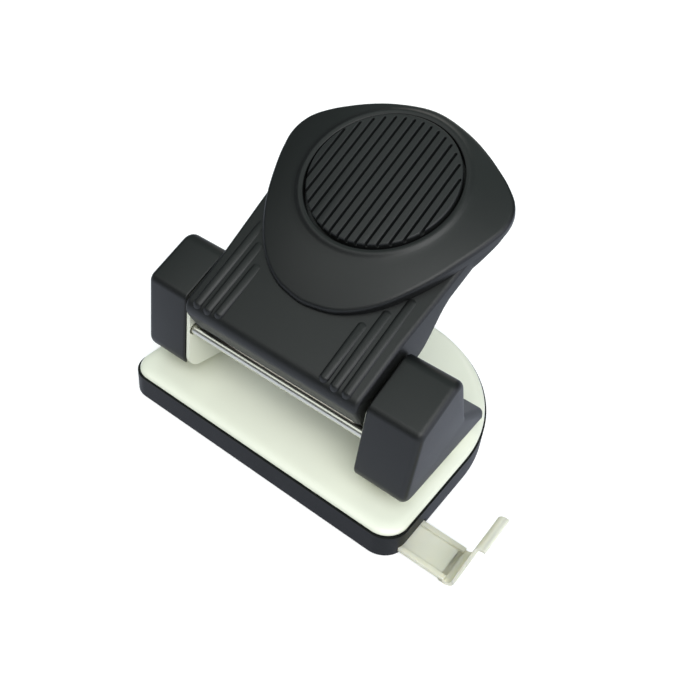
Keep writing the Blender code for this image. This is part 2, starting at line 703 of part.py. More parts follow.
def build_rivet(name, side, setback, steel):
    head_low = FOOT_TOP + SEAT_GAP
    tail_high = DIE_BOTTOM - SEAT_GAP
    profile = [
        (RIVET_HEAD_RADIUS * 0.8, tail_high - RIVET_TAIL_HEIGHT),
        (RIVET_HEAD_RADIUS, tail_high),
        (RIVET_RADIUS, tail_high),
        (RIVET_RADIUS, head_low),
        (RIVET_HEAD_RADIUS, head_low),
        (RIVET_HEAD_RADIUS * 0.9, head_low + RIVET_HEAD_HEIGHT / 2),
        (RIVET_HEAD_RADIUS * 0.5, head_low + RIVET_HEAD_HEIGHT),
    ]
    place = (side * RIVET_OUT, FRONT_Y + setback)
    make(name, turned(profile, place, steps=SMALL_ROUND_STEPS), steel, origin=(*place, PLATE_TOP))


def cover_corners():
    """Side view of a cover before its corners are rounded, anticlockwise from the foot."""
    return behind_front(
        [
            (COVER_FRONT_LOW, COVER_BOTTOM),
            (COVER_END_SETBACK, COVER_BOTTOM),
            (COVER_TAIL_SETBACK, COVER_TAIL_HEIGHT),
            (COVER_BACK_SETBACK, COVER_BACK_HEIGHT),
            (COVER_TOP_SETBACK, COVER_TOP_HEIGHT),
            (COVER_FRONT_HIGH, COVER_RIDGE_HEIGHT),
        ]
    )


def cover_radii(margin):
    """Corner radii to match: outer corners tighten as the outline moves in, and the inner one opens."""
    outer = [
        COVER_FOOT_ROUND,
        COVER_SMALL_ROUND,
        COVER_SMALL_ROUND,
        COVER_SMALL_ROUND,
        COVER_TOP_ROUND,
        COVER_RIDGE_ROUND,
    ]
    hollow = 3
    least = COVER_SMALL_ROUND / 5
    return [radius + margin if place == hollow else max(radius - margin, least) for place, radius in enumerate(outer)]


def cover_ring(margin, x):
    corners = inset(cover_corners(), [margin] * 6)
    return [(x, y, z) for y, z in fillet(corners, cover_radii(margin))]


def build_cover(name, side, black):
    rings = [cover_ring(0.0, side * COVER_INNER_FACE)]
    for step in range(CORNER_STEPS):
        turn = math.pi / 2 * step / (CORNER_STEPS - 1)
        along = COVER_OUTER_FACE - COVER_SIDE_ROUND * (1 - math.sin(turn))
        rings.append(cover_ring(COVER_SIDE_ROUND * (1 - math.cos(turn)), side * along))
    cover = make(name + "_cover", loft(rings), black)
    wall = inset(cover_corners(), [-OVERRUN] + [COVER_WALL] * 5)
    hollow = slab(
        fillet(wall, [0, 0] + cover_radii(COVER_WALL)[2:]),
        side * (COVER_INNER_FACE - OVERRUN),
        side * (COVER_OUTER_FACE - COVER_WALL),
        "X",
    )
    cut(cover, "hollow", hollow)
    seat = SHAFT_HALF_LENGTH + SEAT_GAP
    stop = block(
        (side * seat, PIVOT_Y - SHAFT_RADIUS, PIVOT_HEIGHT - COVER_STOP_SIZE),
        (side * (seat + COVER_STOP_LENGTH), PIVOT_Y + COVER_STOP_SIZE, PIVOT_HEIGHT + COVER_STOP_SIZE),
    )
    add(cover, "shaft_stop", stop)
    relief = [(SHAFT_HOLE_RADIUS, side * (COVER_INNER_FACE - OVERRUN)), (SHAFT_HOLE_RADIUS, side * seat)]
    cut(cover, "shaft_relief", turned(relief, (PIVOT_Y, PIVOT_HEIGHT), "X"))


def build_shaft(steel):
    profile = [(SHAFT_RADIUS, -SHAFT_HALF_LENGTH), (SHAFT_RADIUS, SHAFT_HALF_LENGTH)]
    place = (PIVOT_Y, PIVOT_HEIGHT)
    make("pivot_shaft", turned(profile, place, "X"), steel, origin=(0.0, *place))


def build_punch(name, side, steel):
    """A shank with a hollow-ground tip under a chamfered head."""
    head_low = PUNCH_HEAD_TOP - PUNCH_HEAD_HEIGHT
    profile = [
        (PUNCH_RADIUS / 4, PUNCH_TIP + PUNCH_CUP_DEPTH),
        (PUNCH_RADIUS, PUNCH_TIP),
        (PUNCH_RADIUS, head_low),
        (PUNCH_HEAD_RADIUS, head_low),
        (PUNCH_HEAD_RADIUS, PUNCH_HEAD_TOP - PUNCH_HEAD_CHAMFER),
        (PUNCH_HEAD_RADIUS - PUNCH_HEAD_CHAMFER, PUNCH_HEAD_TOP),
    ]
    place = (side * PUNCH_X, PUNCH_Y)
    make(name + "_punch", turned(profile, place), steel, origin=(*place, PUNCH_HEAD_TOP))


def build_spring(name, side, steel):
    """A compression spring round the punch, as one tube along a helix."""
    curve = bpy.data.curves.new(name + "_spring", "CURVE")
    curve.dimensions = "3D"
    curve.bevel_depth = SPRING_WIRE_RADIUS
    curve.bevel_resolution = 1
    curve.use_fill_caps = True
    spline = curve.splines.new("POLY")
    count = SPRING_TURNS * SPRING_POINTS_PER_TURN
    spline.points.add(count)
    rise = SPRING_TOP - SPRING_BOTTOM - 2 * SPRING_WIRE_RADIUS
    for index, point in enumerate(spline.points):
        turn = math.tau * index / SPRING_POINTS_PER_TURN
        height = SPRING_BOTTOM + SPRING_WIRE_RADIUS + rise * index / count
        x = SPRING_MEAN_RADIUS * math.cos(turn)
        point.co = (x, SPRING_MEAN_RADIUS * math.sin(turn), height, 1.0)
    spring = bpy.data.objects.new(curve.name, curve)
    spring.location = (side * PUNCH_X, PUNCH_Y, 0.0)
    curve.materials.append(steel)
    bpy.context.scene.collection.objects.link(spring)


def build_press_bar(handle, steel):
    """A round bar with a clip groove just inside each lever ear."""
    groove_out = LEVER_EAR_INNER
    groove_in = LEVER_EAR_INNER - BAR_CLIP_SHEET - 2 * SEAT_GAP
    waist = BAR_RADIUS - BAR_GROOVE_DEPTH
    half = [(BAR_RADIUS, BAR_HALF_LENGTH), (BAR_RADIUS, groove_out), (waist, groove_out), (waist, groove_in)]
    half.append((BAR_RADIUS, groove_in))
    profile = [(radius, -along) for radius, along in half] + list(reversed(half))
    place = (BAR_ALONG, BAR_ABOVE)
    shape = turned(profile, place, "X", SMALL_ROUND_STEPS)
    make("press_bar", shape, steel, handle, (0.0, *place))


def build_bar_clip(name, side, handle, steel):
    """A ring with a mouth, sprung into the bar's groove."""
    outer = side * (LEVER_EAR_INNER - SEAT_GAP)
    inner = side * (LEVER_EAR_INNER - SEAT_GAP - BAR_CLIP_SHEET)
    bore = BAR_RADIUS - BAR_GROOVE_DEPTH + SEAT_GAP
    profile = [(BAR_CLIP_RADIUS, inner), (BAR_CLIP_RADIUS, outer), (bore, outer), (bore, inner)]
    place = (BAR_ALONG, BAR_ABOVE)
    shape = turned(profile, place, "X", SMALL_ROUND_STEPS, closed=True)
    clip = make(name + "_bar_clip", shape, steel, handle, (0.0, *place))
    half = BAR_CLIP_MOUTH / 2
    low = (min(inner, outer) - OVERRUN, BAR_ALONG - half, BAR_ABOVE - BAR_CLIP_RADIUS - OVERRUN)
    high = (max(inner, outer) + OVERRUN, BAR_ALONG + half, BAR_ABOVE)
    cut(clip, "mouth", block(low, high), handle)


def palm_side():
    """Right half of the palm rest's plan, from its front tip round to the back, about the disc's centre."""
    points = [(across * PALM_HALF_WIDTH, -along * PALM_FRONT_REACH) for across, along in PALM_FRONT_SHARES]
    points += [(across * PALM_HALF_WIDTH, along * PALM_REAR_REACH) for across, along in PALM_REAR_SHARES]
    return smooth(points, 2)


def palm_plan():
    """The whole plan about the disc's centre, anticlockwise, at even turns."""
    right = palm_side()
    curve = right + [(-x, y) for x, y in reversed(right[1:-1])]
    plan = []
    for step in range(PALM_POINTS):
        turn = math.tau * step / PALM_POINTS
        ray = Vector((math.cos(turn), math.sin(turn)))
        for start, end in zip(curve, curve[1:] + curve[:1]):
            start, end = Vector(start), Vector(end)
            before, after = ray.cross(start), ray.cross(end)
            if before <= 0 < after and ray.dot(start) > 0:
                plan.append(tuple(start + (end - start) * before / (before - after)))
    return plan


def palm_ring(margin, height):
    """A ring that follows the plan, moved in by a margin. The height is a number or a function of place."""
    plan = palm_plan()
    moved = inset(plan, [margin] * len(plan))
    find = height if callable(height) else lambda x, y: height
    return [(x, y + PALM_CENTRE, find(x, y)) for x, y in moved]


def pocket_ring(radius, height):
    """A round ring about the disc's centre, with its points in line with those of the plan."""
    ring = []
    for x, y in palm_plan():
        scale = radius / math.hypot(x, y)
        ring.append((x * scale, y * scale + PALM_CENTRE, height))
    return ring


def palm_surface(x, y):
    """Height of the palm rest's top face: level with the pocket's edge, then falling away like a shallow dome."""
    beyond = max(math.hypot(x, y) - POCKET_RADIUS, 0.0)
    return PALM_TOP - PALM_FALL_RATE * beyond - beyond * beyond / PALM_FALL_SPAN


def palm_inner(x, y):
    return max(palm_surface(x, y) - PALM_WALL, PALM_BOTTOM + PALM_THIN_WALL / 2)


def build_palm_rest(handle, black):
    rings = [pocket_ring(POCKET_RADIUS, POCKET_BOTTOM), pocket_ring(POCKET_RADIUS, PALM_TOP)]
    plan = palm_plan()
    for share in (1 / 3, 2 / 3):
        ring = []
        for x, y in inset(plan, [PALM_EDGE_ROUND] * len(plan)):
            reach = math.hypot(x, y)
            radius = POCKET_RADIUS + (reach - POCKET_RADIUS) * share
            px, py = x * radius / reach, y * radius / reach
            ring.append((px, py + PALM_CENTRE, palm_surface(px, py)))
        rings.append(ring)
    for step in range(4):
        turn = math.pi / 2 * step / 3
        margin = PALM_EDGE_ROUND * (1 - math.sin(turn))
        drop = PALM_EDGE_ROUND * (1 - math.cos(turn))
        rings.append(palm_ring(margin, lambda x, y: max(palm_surface(x, y) - drop, PALM_BOTTOM + PALM_THIN_WALL / 4)))
    rings.append(palm_ring(0.0, PALM_BOTTOM))
    rings.append(palm_ring(PALM_WALL, PALM_BOTTOM))
    rings.append(palm_ring(PALM_WALL, palm_inner))
    rings.append(pocket_ring(POCKET_RADIUS + PALM_WALL / 2, POCKET_BOTTOM + PALM_WALL / 2))
    rings.append(pocket_ring(POCKET_RADIUS - PALM_WALL / 2, POCKET_BOTTOM - POCKET_FLOOR))
    palm = make("palm_rest", loft(rings), black, handle)
    hole_radius = SCREW_RADIUS + SEAT_GAP
    hole_top = LEVER_BOTTOM - SEAT_GAP + SCREW_LENGTH + SEAT_GAP
    bosses = []
    holes = []
    for place in SCREW_PLACES:
        boss_top = palm_surface(place[0], place[1] - PALM_CENTRE) - PALM_WALL / 2
        if math.hypot(place[0], place[1] - PALM_CENTRE) < POCKET_RADIUS:
            boss_top = POCKET_BOTTOM - POCKET_FLOOR / 2
        bosses.append(turned([(hole_radius + BOSS_WALL, PALM_BOTTOM), (hole_radius + BOSS_WALL, boss_top)], place))
        holes.append(turned([(hole_radius, PALM_BOTTOM - OVERRUN), (hole_radius, hole_top)], place))
    add(palm, "bosses", together(*bosses), handle)
    cut(palm, "screw_holes", together(*holes), handle)


def build_grip_disc(handle, black):
    """A disc with grooves along the handle, each stopped short of the edge."""
    profile = [
        (DISC_RADIUS, DISC_BOTTOM),
        (DISC_RADIUS, DISC_TOP - DISC_CHAMFER),
        (DISC_RADIUS - DISC_CHAMFER, DISC_TOP),
    ]
    disc = make("grip_disc", turned(profile, (0.0, PALM_CENTRE), steps=2 * ROUND_STEPS), black, handle)
    grooves = []
    for index in range(GROOVE_COUNT):
        x = (index - (GROOVE_COUNT - 1) / 2) * GROOVE_PITCH
        reach = math.sqrt((DISC_RADIUS - DISC_CHAMFER - GROOVE_MARGIN) ** 2 - x * x)
        low = (x - GROOVE_WIDTH / 2, PALM_CENTRE - reach, DISC_TOP - GROOVE_DEPTH)
        high = (x + GROOVE_WIDTH / 2, PALM_CENTRE + reach, DISC_TOP + OVERRUN)
        grooves.append(block(low, high))
    cut(disc, "grooves", together(*grooves), handle)


def shell_half_width(along):
    """Half the width of the shell's straight part, which flares a little towards the palm rest."""
    share = (along - SHELL_FLARE_START) / (SHELL_FLARE_END - SHELL_FLARE_START)
    return SHELL_HALF_WIDTH + SHELL_FLARE * min(max(share, 0.0), 1.0)


def skirt_points():
    """The side walls' lower edge as (along, height), from the skirt's front to the waist."""
    points = [(SKIRT_FRONT, SKIRT_HEIGHT)]
    for along_share, rise_share in SKIRT_RISE_SHARES:
        along = SKIRT_BACK + (SHELL_FLARE_END - SKIRT_BACK) * along_share
        points.append((along, SKIRT_HEIGHT + (WAIST_HEIGHT - SKIRT_HEIGHT) * rise_share))
    return points


def shell_plan():
    """Plan of the handle shell, anticlockwise from its front left corner, so that edge 0 is the nose."""
    whole = palm_plan()
    plan = [(x, y + PALM_CENTRE) for x, y in inset(whole, [PALM_OVERHANG] * len(whole))]
    rear = [(x, y) for x, y in plan if y > SHELL_WAIST]
    start = min(range(len(rear)), key=lambda index: (rear[index][0] < 0, rear[index][1]))
    rear = rear[start:] + rear[:start]
    side = [(shell_half_width(along), along) for along, _ in [(SHELL_FRONT, 0.0), *skirt_points()]]
    return [(-side[0][0], SHELL_FRONT)] + side + rear + [(-x, y) for x, y in reversed(side[1:])]


def shell_underside(along):
    """Height of the shell's lower edge: the nose lip, the skirt, its rise to the waist and the thin rear."""
    points = [(SHELL_FRONT, SHELL_LIP_HEIGHT), *skirt_points(), (SHELL_WAIST, WAIST_HEIGHT)]
    points.append((SHELL_REAR_START, SHELL_REAR_HEIGHT))
    for (before, low), (after, high) in zip(points, points[1:]):
        if along <= after:
            return low + (high - low) * max(along - before, 0.0) / (after - before)
    return SHELL_REAR_HEIGHT


def shell_rings(wall, top):
    """Rings of the shell's outer or inner skin, from the roof down to the lower edge."""
    plan = shell_plan()
    rings = []
    for step in range(CORNER_STEPS + 1):
        turn = math.pi / 2 * step / CORNER_STEPS
        nose = max(SHELL_NOSE_ROUND - wall, 0.0)
        edge = max(SHELL_EDGE_ROUND - wall, SHELL_EDGE_ROUND / 4)
        margins = [wall + (nose if index == 0 else edge) * (1 - math.sin(turn)) for index in range(len(plan))]
        ring = []
        for index, (x, y) in enumerate(inset(plan, margins)):
            radius = nose if index < 2 else edge
            ring.append((x, y, top - radius * (1 - math.cos(turn))))
        rings.append(ring)
    lower = inset(plan, [wall] * len(plan))
    rings.append([(x, y, shell_underside(y if index > 1 else SHELL_FRONT)) for index, (x, y) in enumerate(lower)])
    return rings


def rib(x, start, end):
    """A low half-round rib on the shell's top face."""
    rings = []
    sunk = SHELL_TOP - SHELL_WALL / 3
    for along, size in ((start, 0.4), (start + RIB_WIDTH / 2, 1.0), (end - RIB_WIDTH, 1.0), (end, 0.3)):
        half = RIB_WIDTH / 2 * size
        high = SHELL_TOP + RIB_HEIGHT * size
        rings.append(
            [
                (x - half, along, sunk),
                (x + half, along, sunk),
                (x + half, along, SHELL_TOP),
                (x + half * 0.6, along, SHELL_TOP + (high - SHELL_TOP) * 0.8),
                (x, along, high),
                (x - half * 0.6, along, SHELL_TOP + (high - SHELL_TOP) * 0.8),
                (x - half, along, SHELL_TOP),
            ]
        )
    return loft(rings)


def build_shell(handle, black):
    rings = shell_rings(0.0, SHELL_TOP) + list(reversed(shell_rings(SHELL_WALL, SHELL_CEILING)))
    shell = make("handle_shell", loft(rings), black, handle)
    ribs = []
    for _, side in SIDES:
        for offset, start, end in zip(RIB_OFFSETS, RIB_STARTS, RIB_ENDS):
            ribs.append(rib(side * offset, start, end))
    add(shell, "ribs", together(*ribs), handle)
    holes = [(SCREW_RADIUS + SEAT_GAP, *place) for place in SCREW_PLACES]
    cut(shell, "screw_holes", drilled(holes, SHELL_CEILING, SHELL_TOP), handle)


def lever_ear():
    """Side view of a lever ear, from the plate down round the shaft and the press bar."""
    shaft_ring = LEVER_EAR_RING
    corners = [
        (LEVER_EAR_END, LEVER_BOTTOM + LEVER_SHEET / 2),
        (LEVER_FRONT, LEVER_BOTTOM + LEVER_SHEET / 2),
        (LEVER_EAR_FRONT, LEVER_BOTTOM - LEVER_SHEET),
        (LEVER_EAR_FRONT, SHELL_LIP_HEIGHT),
        (-shaft_ring, SHAFT_RADIUS + SEAT_GAP),
        (-shaft_ring, -shaft_ring),
        (BAR_ALONG - LEVER_BAR_RING, BAR_ABOVE - LEVER_BAR_RING),
        (BAR_ALONG + LEVER_BAR_RING, BAR_ABOVE - LEVER_BAR_RING),
        (BAR_ALONG + LEVER_BAR_RING, 0.0),
    ]
    radii = [0, 0, 0, 0, shaft_ring, shaft_ring, LEVER_BAR_RING / 2, LEVER_BAR_RING / 2, LEVER_BAR_RING / 2]
    return fillet(corners, radii)


def build_lever(handle, steel):
    """A sheet under the shell's roof with an ear bent down at each side."""
    corners = [
        (-LEVER_HALF_WIDTH, LEVER_FRONT),
        (LEVER_HALF_WIDTH, LEVER_FRONT),
        (LEVER_HALF_WIDTH, LEVER_EAR_END),
        (LEVER_TAIL_HALF_WIDTH, LEVER_END),
        (-LEVER_TAIL_HALF_WIDTH, LEVER_END),
        (-LEVER_HALF_WIDTH, LEVER_EAR_END),
    ]
    rounds = [0, 0, LEVER_EAR_RING, LEVER_EAR_RING, LEVER_EAR_RING, LEVER_EAR_RING]
    lever = make("lever_plate", slab(fillet(corners, rounds), LEVER_BOTTOM, LEVER_TOP), steel, handle)
    for name, side in SIDES:
        ear = slab(lever_ear(), side * LEVER_EAR_INNER, side * LEVER_HALF_WIDTH, "X")
        add(lever, name + "_ear", ear, handle)
    run = LEVER_HALF_WIDTH + OVERRUN
    bar_hole = BAR_RADIUS + SEAT_GAP
    bores = together(
        turned([(SHAFT_HOLE_RADIUS, -run), (SHAFT_HOLE_RADIUS, run)], (0.0, 0.0), "X"),
        turned([(bar_hole, -run), (bar_hole, run)], (BAR_ALONG, BAR_ABOVE), "X"),
    )
    cut(lever, "bores", bores, handle)
    holes = [(SCREW_RADIUS + SEAT_GAP, *place) for place in SCREW_PLACES]
    cut(lever, "screw_holes", drilled(holes, LEVER_BOTTOM, LEVER_TOP), handle)


def build_screw(name, place, handle, steel):
    """A screw with a slotted head, driven from below."""
    head_high = LEVER_BOTTOM - SEAT_GAP
    profile = [
        (SCREW_HEAD_RADIUS, head_high - SCREW_HEAD_HEIGHT),
        (SCREW_HEAD_RADIUS, head_high),
        (SCREW_RADIUS, head_high),
        (SCREW_RADIUS, head_high + SCREW_LENGTH - SCREW_RADIUS),
        (SCREW_RADIUS / 3, head_high + SCREW_LENGTH),
    ]
    screw = make(name, turned(profile, place, steps=SMALL_ROUND_STEPS), steel, handle)
    run = SCREW_HEAD_RADIUS + OVERRUN
    low = head_high - SCREW_HEAD_HEIGHT
    slot = block(
        (place[0] - run, place[1] - SCREW_SLOT_WIDTH / 2, low - OVERRUN),
        (place[0] + run, place[1] + SCREW_SLOT_WIDTH / 2, low + SCREW_SLOT_DEPTH),
    )
    cut(screw, "slot", slot, handle)


def build_handle(black, rubber, dark_steel, steel):
    """The handle turns on the shaft, so its frame stands there."""
    handle = bpy.data.objects.new("handle_frame", None)
    handle.location = (0.0, PIVOT_Y, PIVOT_HEIGHT)
    handle.rotation_euler = (HANDLE_SLOPE, 0.0, 0.0)
    bpy.context.scene.collection.objects.link(handle)
    build_shell(handle, black)
    build_palm_rest(handle, black)
    build_grip_disc(handle, rubber)
    build_lever(handle, dark_steel)
    build_press_bar(handle, steel)
    for name, side in SIDES:
        build_bar_clip(name, side, handle, dark_steel)
    for index, place in enumerate(SCREW_PLACES):
        build_screw("handle_screw_" + str(index + 1), place, handle, steel)


def main():
    for stale in list(bpy.data.objects):
        bpy.data.objects.remove(stale)
    black = material("black_plastic", (0.018, 0.02, 0.022), 0.38)
    rubber = material("grip_plastic", (0.022, 0.025, 0.025), 0.55)
    cream = material("cream_paint", (0.78, 0.78, 0.68), 0.35)
    ivory = material("ivory_plastic", (0.72, 0.7, 0.58), 0.4)
    steel = material("polished_steel", (0.75, 0.75, 0.76), 0.2, 1.0)
    dark_steel = material("black_steel", (0.05, 0.05, 0.055), 0.35, 0.8)
    build_tray(black)
    build_gauge(ivory)
    build_plate(cream)
    build_shaft(steel)
    for name, side in SIDES:
        build_bracket(name, side, cream)
        build_die(name, side, steel)
        for place, setback in zip(("front", "rear"), RIVET_SETBACKS):
            build_rivet(name + "_" + place + "_rivet", side, setback, steel)
        build_cover(name, side, black)
        build_punch(name, side, steel)
        build_spring(name, side, steel)
    build_handle(black, rubber, dark_steel, steel)


main()
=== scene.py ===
"""The looks of a two hole punch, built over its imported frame: smooth shells, their finishes, and a plain studio.

X runs to the right, Y from the front edge to the back, Z up, in metres. Outlines are in millimetres.
Setbacks are measured from the tray's front edge, and handle sizes along it and square to its top face from a point
a little under the pivot.
"""

import math

import bmesh
import bpy
from mathutils import Matrix, Vector


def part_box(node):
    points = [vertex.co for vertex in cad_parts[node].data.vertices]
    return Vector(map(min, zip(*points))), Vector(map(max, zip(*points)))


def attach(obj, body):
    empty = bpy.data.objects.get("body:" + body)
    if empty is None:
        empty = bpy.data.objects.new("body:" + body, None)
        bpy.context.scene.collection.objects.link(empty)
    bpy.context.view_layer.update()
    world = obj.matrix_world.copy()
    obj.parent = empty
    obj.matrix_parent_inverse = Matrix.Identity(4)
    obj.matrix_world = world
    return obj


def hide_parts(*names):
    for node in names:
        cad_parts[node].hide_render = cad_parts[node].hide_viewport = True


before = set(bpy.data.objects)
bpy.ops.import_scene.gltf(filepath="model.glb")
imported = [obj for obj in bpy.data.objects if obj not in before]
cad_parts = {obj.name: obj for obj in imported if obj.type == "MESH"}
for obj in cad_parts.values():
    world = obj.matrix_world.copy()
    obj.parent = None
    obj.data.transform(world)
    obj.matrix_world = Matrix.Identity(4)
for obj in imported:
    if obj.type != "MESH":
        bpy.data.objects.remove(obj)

bl_info = {
    "name": "Two hole punch",
    "version": (1, 0, 0),
    "blender": (4, 5, 0),
    "location": "3D View > Sidebar > Hole punch",
    "description": "Builds the pieces, finishes and studio of a two hole punch",
    "category": "Object",
}

MM = 0.001
WIDE = 0.05  # metres, past either side of the handle
CREASE = math.radians(32)
SIDES = (("left", -1), ("right", 1))

# The frame that the pieces sit in
TRAY_LOW, TRAY_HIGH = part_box("base_tray")
PLATE_LOW, PLATE_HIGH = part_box("base_plate")
COVER_LOW, COVER_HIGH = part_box("right_cover")
GAUGE_LOW, GAUGE_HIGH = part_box("paper_gauge")
SHAFT_LOW, SHAFT_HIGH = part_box("pivot_shaft")
FRONT = TRAY_LOW.y
PIVOT = Vector((0.0, (SHAFT_LOW.y + SHAFT_HIGH.y) / 2, (SHAFT_LOW.z + SHAFT_HIGH.z) / 2))
HANDLE_SLOPE = math.radians(27.7)
ORIGIN_DROP = 1.4 * MM
HANDLE_ORIGIN = PIVOT - Vector((0.0, 0.0, ORIGIN_DROP))
HANDLE_PLACE = Matrix.Translation(HANDLE_ORIGIN) @ Matrix.Rotation(HANDLE_SLOPE, 4, "X")

# Tray and plate, in millimetres. Each step is (inwards, up).
FRONT_CORNER = 7.8
BACK_CORNER = 44.7
TRAY_FOOT = 0.6
TRAY_WALL = 2.0
TRAY_STEPS = ((0.2, 7.4), (2.2, 0.0), (0.0, -6.5))
CHANNEL_LOW = (-45.3, 4.5, 0.6)
CHANNEL_HIGH = (54.0, 17.5, 3.0)
CHANNEL_WALL = 1.2
CHANNEL_LIP = 1.3
SLIT_DEPTH = 3.0
PLATE_INSET = 0.8
ROLL_STEPS = 12
HOLE_REACH = 6.0

# Side views as (setback, height, corner radius), in millimetres
COVER_VIEW = (
    (6.6, 14.8, 4.5),
    (51.3, 14.8, 1.6),
    (50.0, 18.9, 1.6),
    (36.0, 27.6, 2.0),
    (27.5, 49.2, 4.5),
    (9.4, 41.0, 3.0),
)
COVER_HOLLOW = (
    (8.0, 13.0, 0.0),
    (49.7, 13.0, 0.0),
    (48.9, 17.7, 0.5),
    (34.8, 26.4, 1.0),
    (26.7, 47.1, 3.0),
    (10.9, 39.9, 1.5),
)
COVER_LIP = 31.0
COVER_RIM_ROUND = 0.6
STOP_GAP = 0.3
STOP_LENGTH = 1.5
STOP_SIZE = 2.6
STOP_FRONT = 1.5
BRACKET_VIEW = (
    (48.3, 10.5, 0.0),
    (48.3, 17.5, 2.0),
    (35.0, 27.0, 2.0),
    (26.4, 46.9, 2.0),
    (9.7, 39.6, 2.0),
    (7.6, 15.2, 5.0),
    (22.0, 12.6, 2.0),
    (36.5, 12.6, 0.0),
    (36.5, 10.5, 0.0),
)
BRACKET_CLEARANCE = (
    (49.0, 10.0, 0.0),
    (49.0, 17.8, 2.0),
    (35.3, 27.2, 2.0),
    (26.6, 47.4, 2.3),
    (9.5, 39.9, 2.3),
    (7.3, 10.0, 0.0),
)
BRACKET_FLOOR_VIEW = (
    (13.0, 15.1, 0.0),
    (22.0, 12.6, 1.0),
    (36.5, 12.6, 0.0),
    (36.5, 10.5, 0.0),
    (48.3, 10.5, 0.0),
    (48.3, 11.9, 0.0),
    (37.9, 11.9, 0.8),
    (37.9, 14.0, 1.4),
    (22.0, 14.0, 1.0),
    (13.0, 16.5, 0.0),
)
BRACKET_EAR_VIEW = (
    (13.0, 15.1, 0.0),
    (22.0, 12.6, 0.0),
    (36.5, 12.6, 0.0),
    (36.5, 10.5, 0.0),
    (48.3, 10.5, 0.0),
    (48.3, 14.4, 1.0),
    (36.5, 21.9, 2.0),
    (13.0, 21.9, 2.0),
)
BRACKET_ACROSS = (30.9, 32.1, 44.3, 45.7)
BAR_WINDOW = (16.3, 28.5, 23.3, 35.1, 2.5)
PUNCH_PLACE = (40.0, 24.5)
GUIDE_RADIUS = 3.05
GUIDE_SPAN = (9.0, 19.5)
COLLAR = (4.25, 13.3, 16.0)
RIVET_PLACES = ((37.5, 40.8), (37.5, 45.8))
RIVET_HOLE = 1.8
RIVET_SPAN = (9.5, 13.0)
SHAFT_HOLE = 2.0

# Handle, in its own frame and in millimetres
SHELL_FRONT_PLAN = ((29.8, 1.3), (30.3, 22.0), (31.6, 42.0))
SHELL_UNDERSIDE = (
    (0.0, 4.5),
    (1.3, 4.5),
    (3.4, 4.5),
    (7.5, 1.5),
    (27.0, 1.5),
    (29.55, 2.35),
    (33.0, 4.56),
    (36.45, 7.11),
    (39.0, 8.81),
    (42.0, 10.0),
    (52.0, 10.0),
    (62.5, 12.6),
    (90.0, 12.6),
)
SHELL_WAIST = 52.0
LEVER_FRONT = 1.5
NOSE_END = 1.3
LIP_ROUND = 0.8
RIB_SUNK = 0.4
RIB_FADE = 8.0
RIB_DIP = 1.15
RIBS = ((18.2, 3.6, 23.5), (21.9, 3.0, 29.5), (25.7, 3.0, 35.5))
PALM_CENTRE = 59.5
PALM_HALF_WIDTH = 36.4
PALM_FRONT_REACH = 40.7
PALM_REAR_REACH = 26.9
PALM_OVERHANG = 1.2
PALM_FRONT_SHARES = (
    (0.0, 1.0),
    (0.115, 0.988),
    (0.27, 0.953),
    (0.426, 0.872),
    (0.558, 0.762),
    (0.681, 0.614),
    (0.777, 0.467),
    (0.852, 0.319),
    (0.907, 0.197),
    (0.964, 0.049),
)
PALM_REAR_SHARES = (
    (0.998, 0.12),
    (0.986, 0.3),
    (0.935, 0.436),
    (0.825, 0.568),
    (0.668, 0.7),
    (0.478, 0.833),
    (0.255, 0.94),
    (0.0, 1.0),
)
PALM_TURNS = 144
PALM_ROWS = (0.35, 0.75, 1.15, 1.55, 1.95, 2.4, 2.9)
PALM_SPREAD = 6
PALM_RIM = 1.3
PALM_WALL = 1.5
PALM_LIFT = 0.3
PALM_SLOPE = 0.17
PALM_CROWN = 250.0
POCKET_DEPTH = 2.8
POCKET_EDGE = 0.35
BEAD_PLACE = 1.35
BEAD_SPREAD = 0.85
GROOVE_COUNT = 15
GROOVE_PITCH = 2.75
# (share of the groove's half width, height over the disc's top)
GROOVE_SECTION = (
    (0.6, -1.5),
    (0.92, -1.3),
    (1.0, -0.25),
    (1.06, -0.13),
    (1.18, -0.05),
    (1.34, -0.01),
    (1.5, 0.03),
    (1.5, 1.0),
)
GROOVE_END = 1.6
GROOVE_RUNOUT = 2.0
DISC_BACK = 0.25
DISC_DEPTH = 2.5
DISC_EDGE = 0.5

# Gauge, in millimetres
GAUGE_BEND = 64.4
GAUGE_BEND_ROUND = 2.6
GAUGE_LEAN = math.radians(9.1)
GAUGE_CURL_ROUND = 1.6
GAUGE_SHEET = (0.3, 1.3)
GAUGE_STEP = (1.3, 0.9)
GAUGE_RAIL = (1.6, 2.2)
GAUGE_OVERLAP = 1.5
GAUGE_SHY = 0.01

# Lamps as (name, place, size, colour), in metres
LAMPS = (
    ("key", (-0.30, -0.50, 0.92), 0.9, (1.0, 0.995, 0.98)),
    ("fill", (0.60, -0.50, 0.90), 0.9, (1.0, 1.0, 1.0)),
    ("side", (0.85, 0.10, 0.35), 0.6, (0.86, 0.87, 1.0)),
    ("back", (-0.30, 0.85, 0.45), 0.5, (1.0, 0.96, 0.90)),
)
LAMP_AIM = Vector((0.0, 0.0, 0.03))

# Camera, in metres, degrees and millimetres
CAMERA_PLACE = (0.09705, -0.14933, 0.18208)
CAMERA_TURN = (47.36147, -5.21078, 36.76645)
CAMERA_LENS = 39.97


def length_setting(name, description, size):
    """A length that a user may change. Its default is given in millimetres."""
    return bpy.props.FloatProperty(name=name, description=description, default=size * MM, unit="LENGTH")


def colour_setting(name, description, colour):
    return bpy.props.FloatVectorProperty(name=name, description=description, default=colour, subtype="COLOR")


def power_setting(name, description, watts):
    return bpy.props.FloatProperty(name=name, description=description, default=watts, min=0.0, unit="POWER")


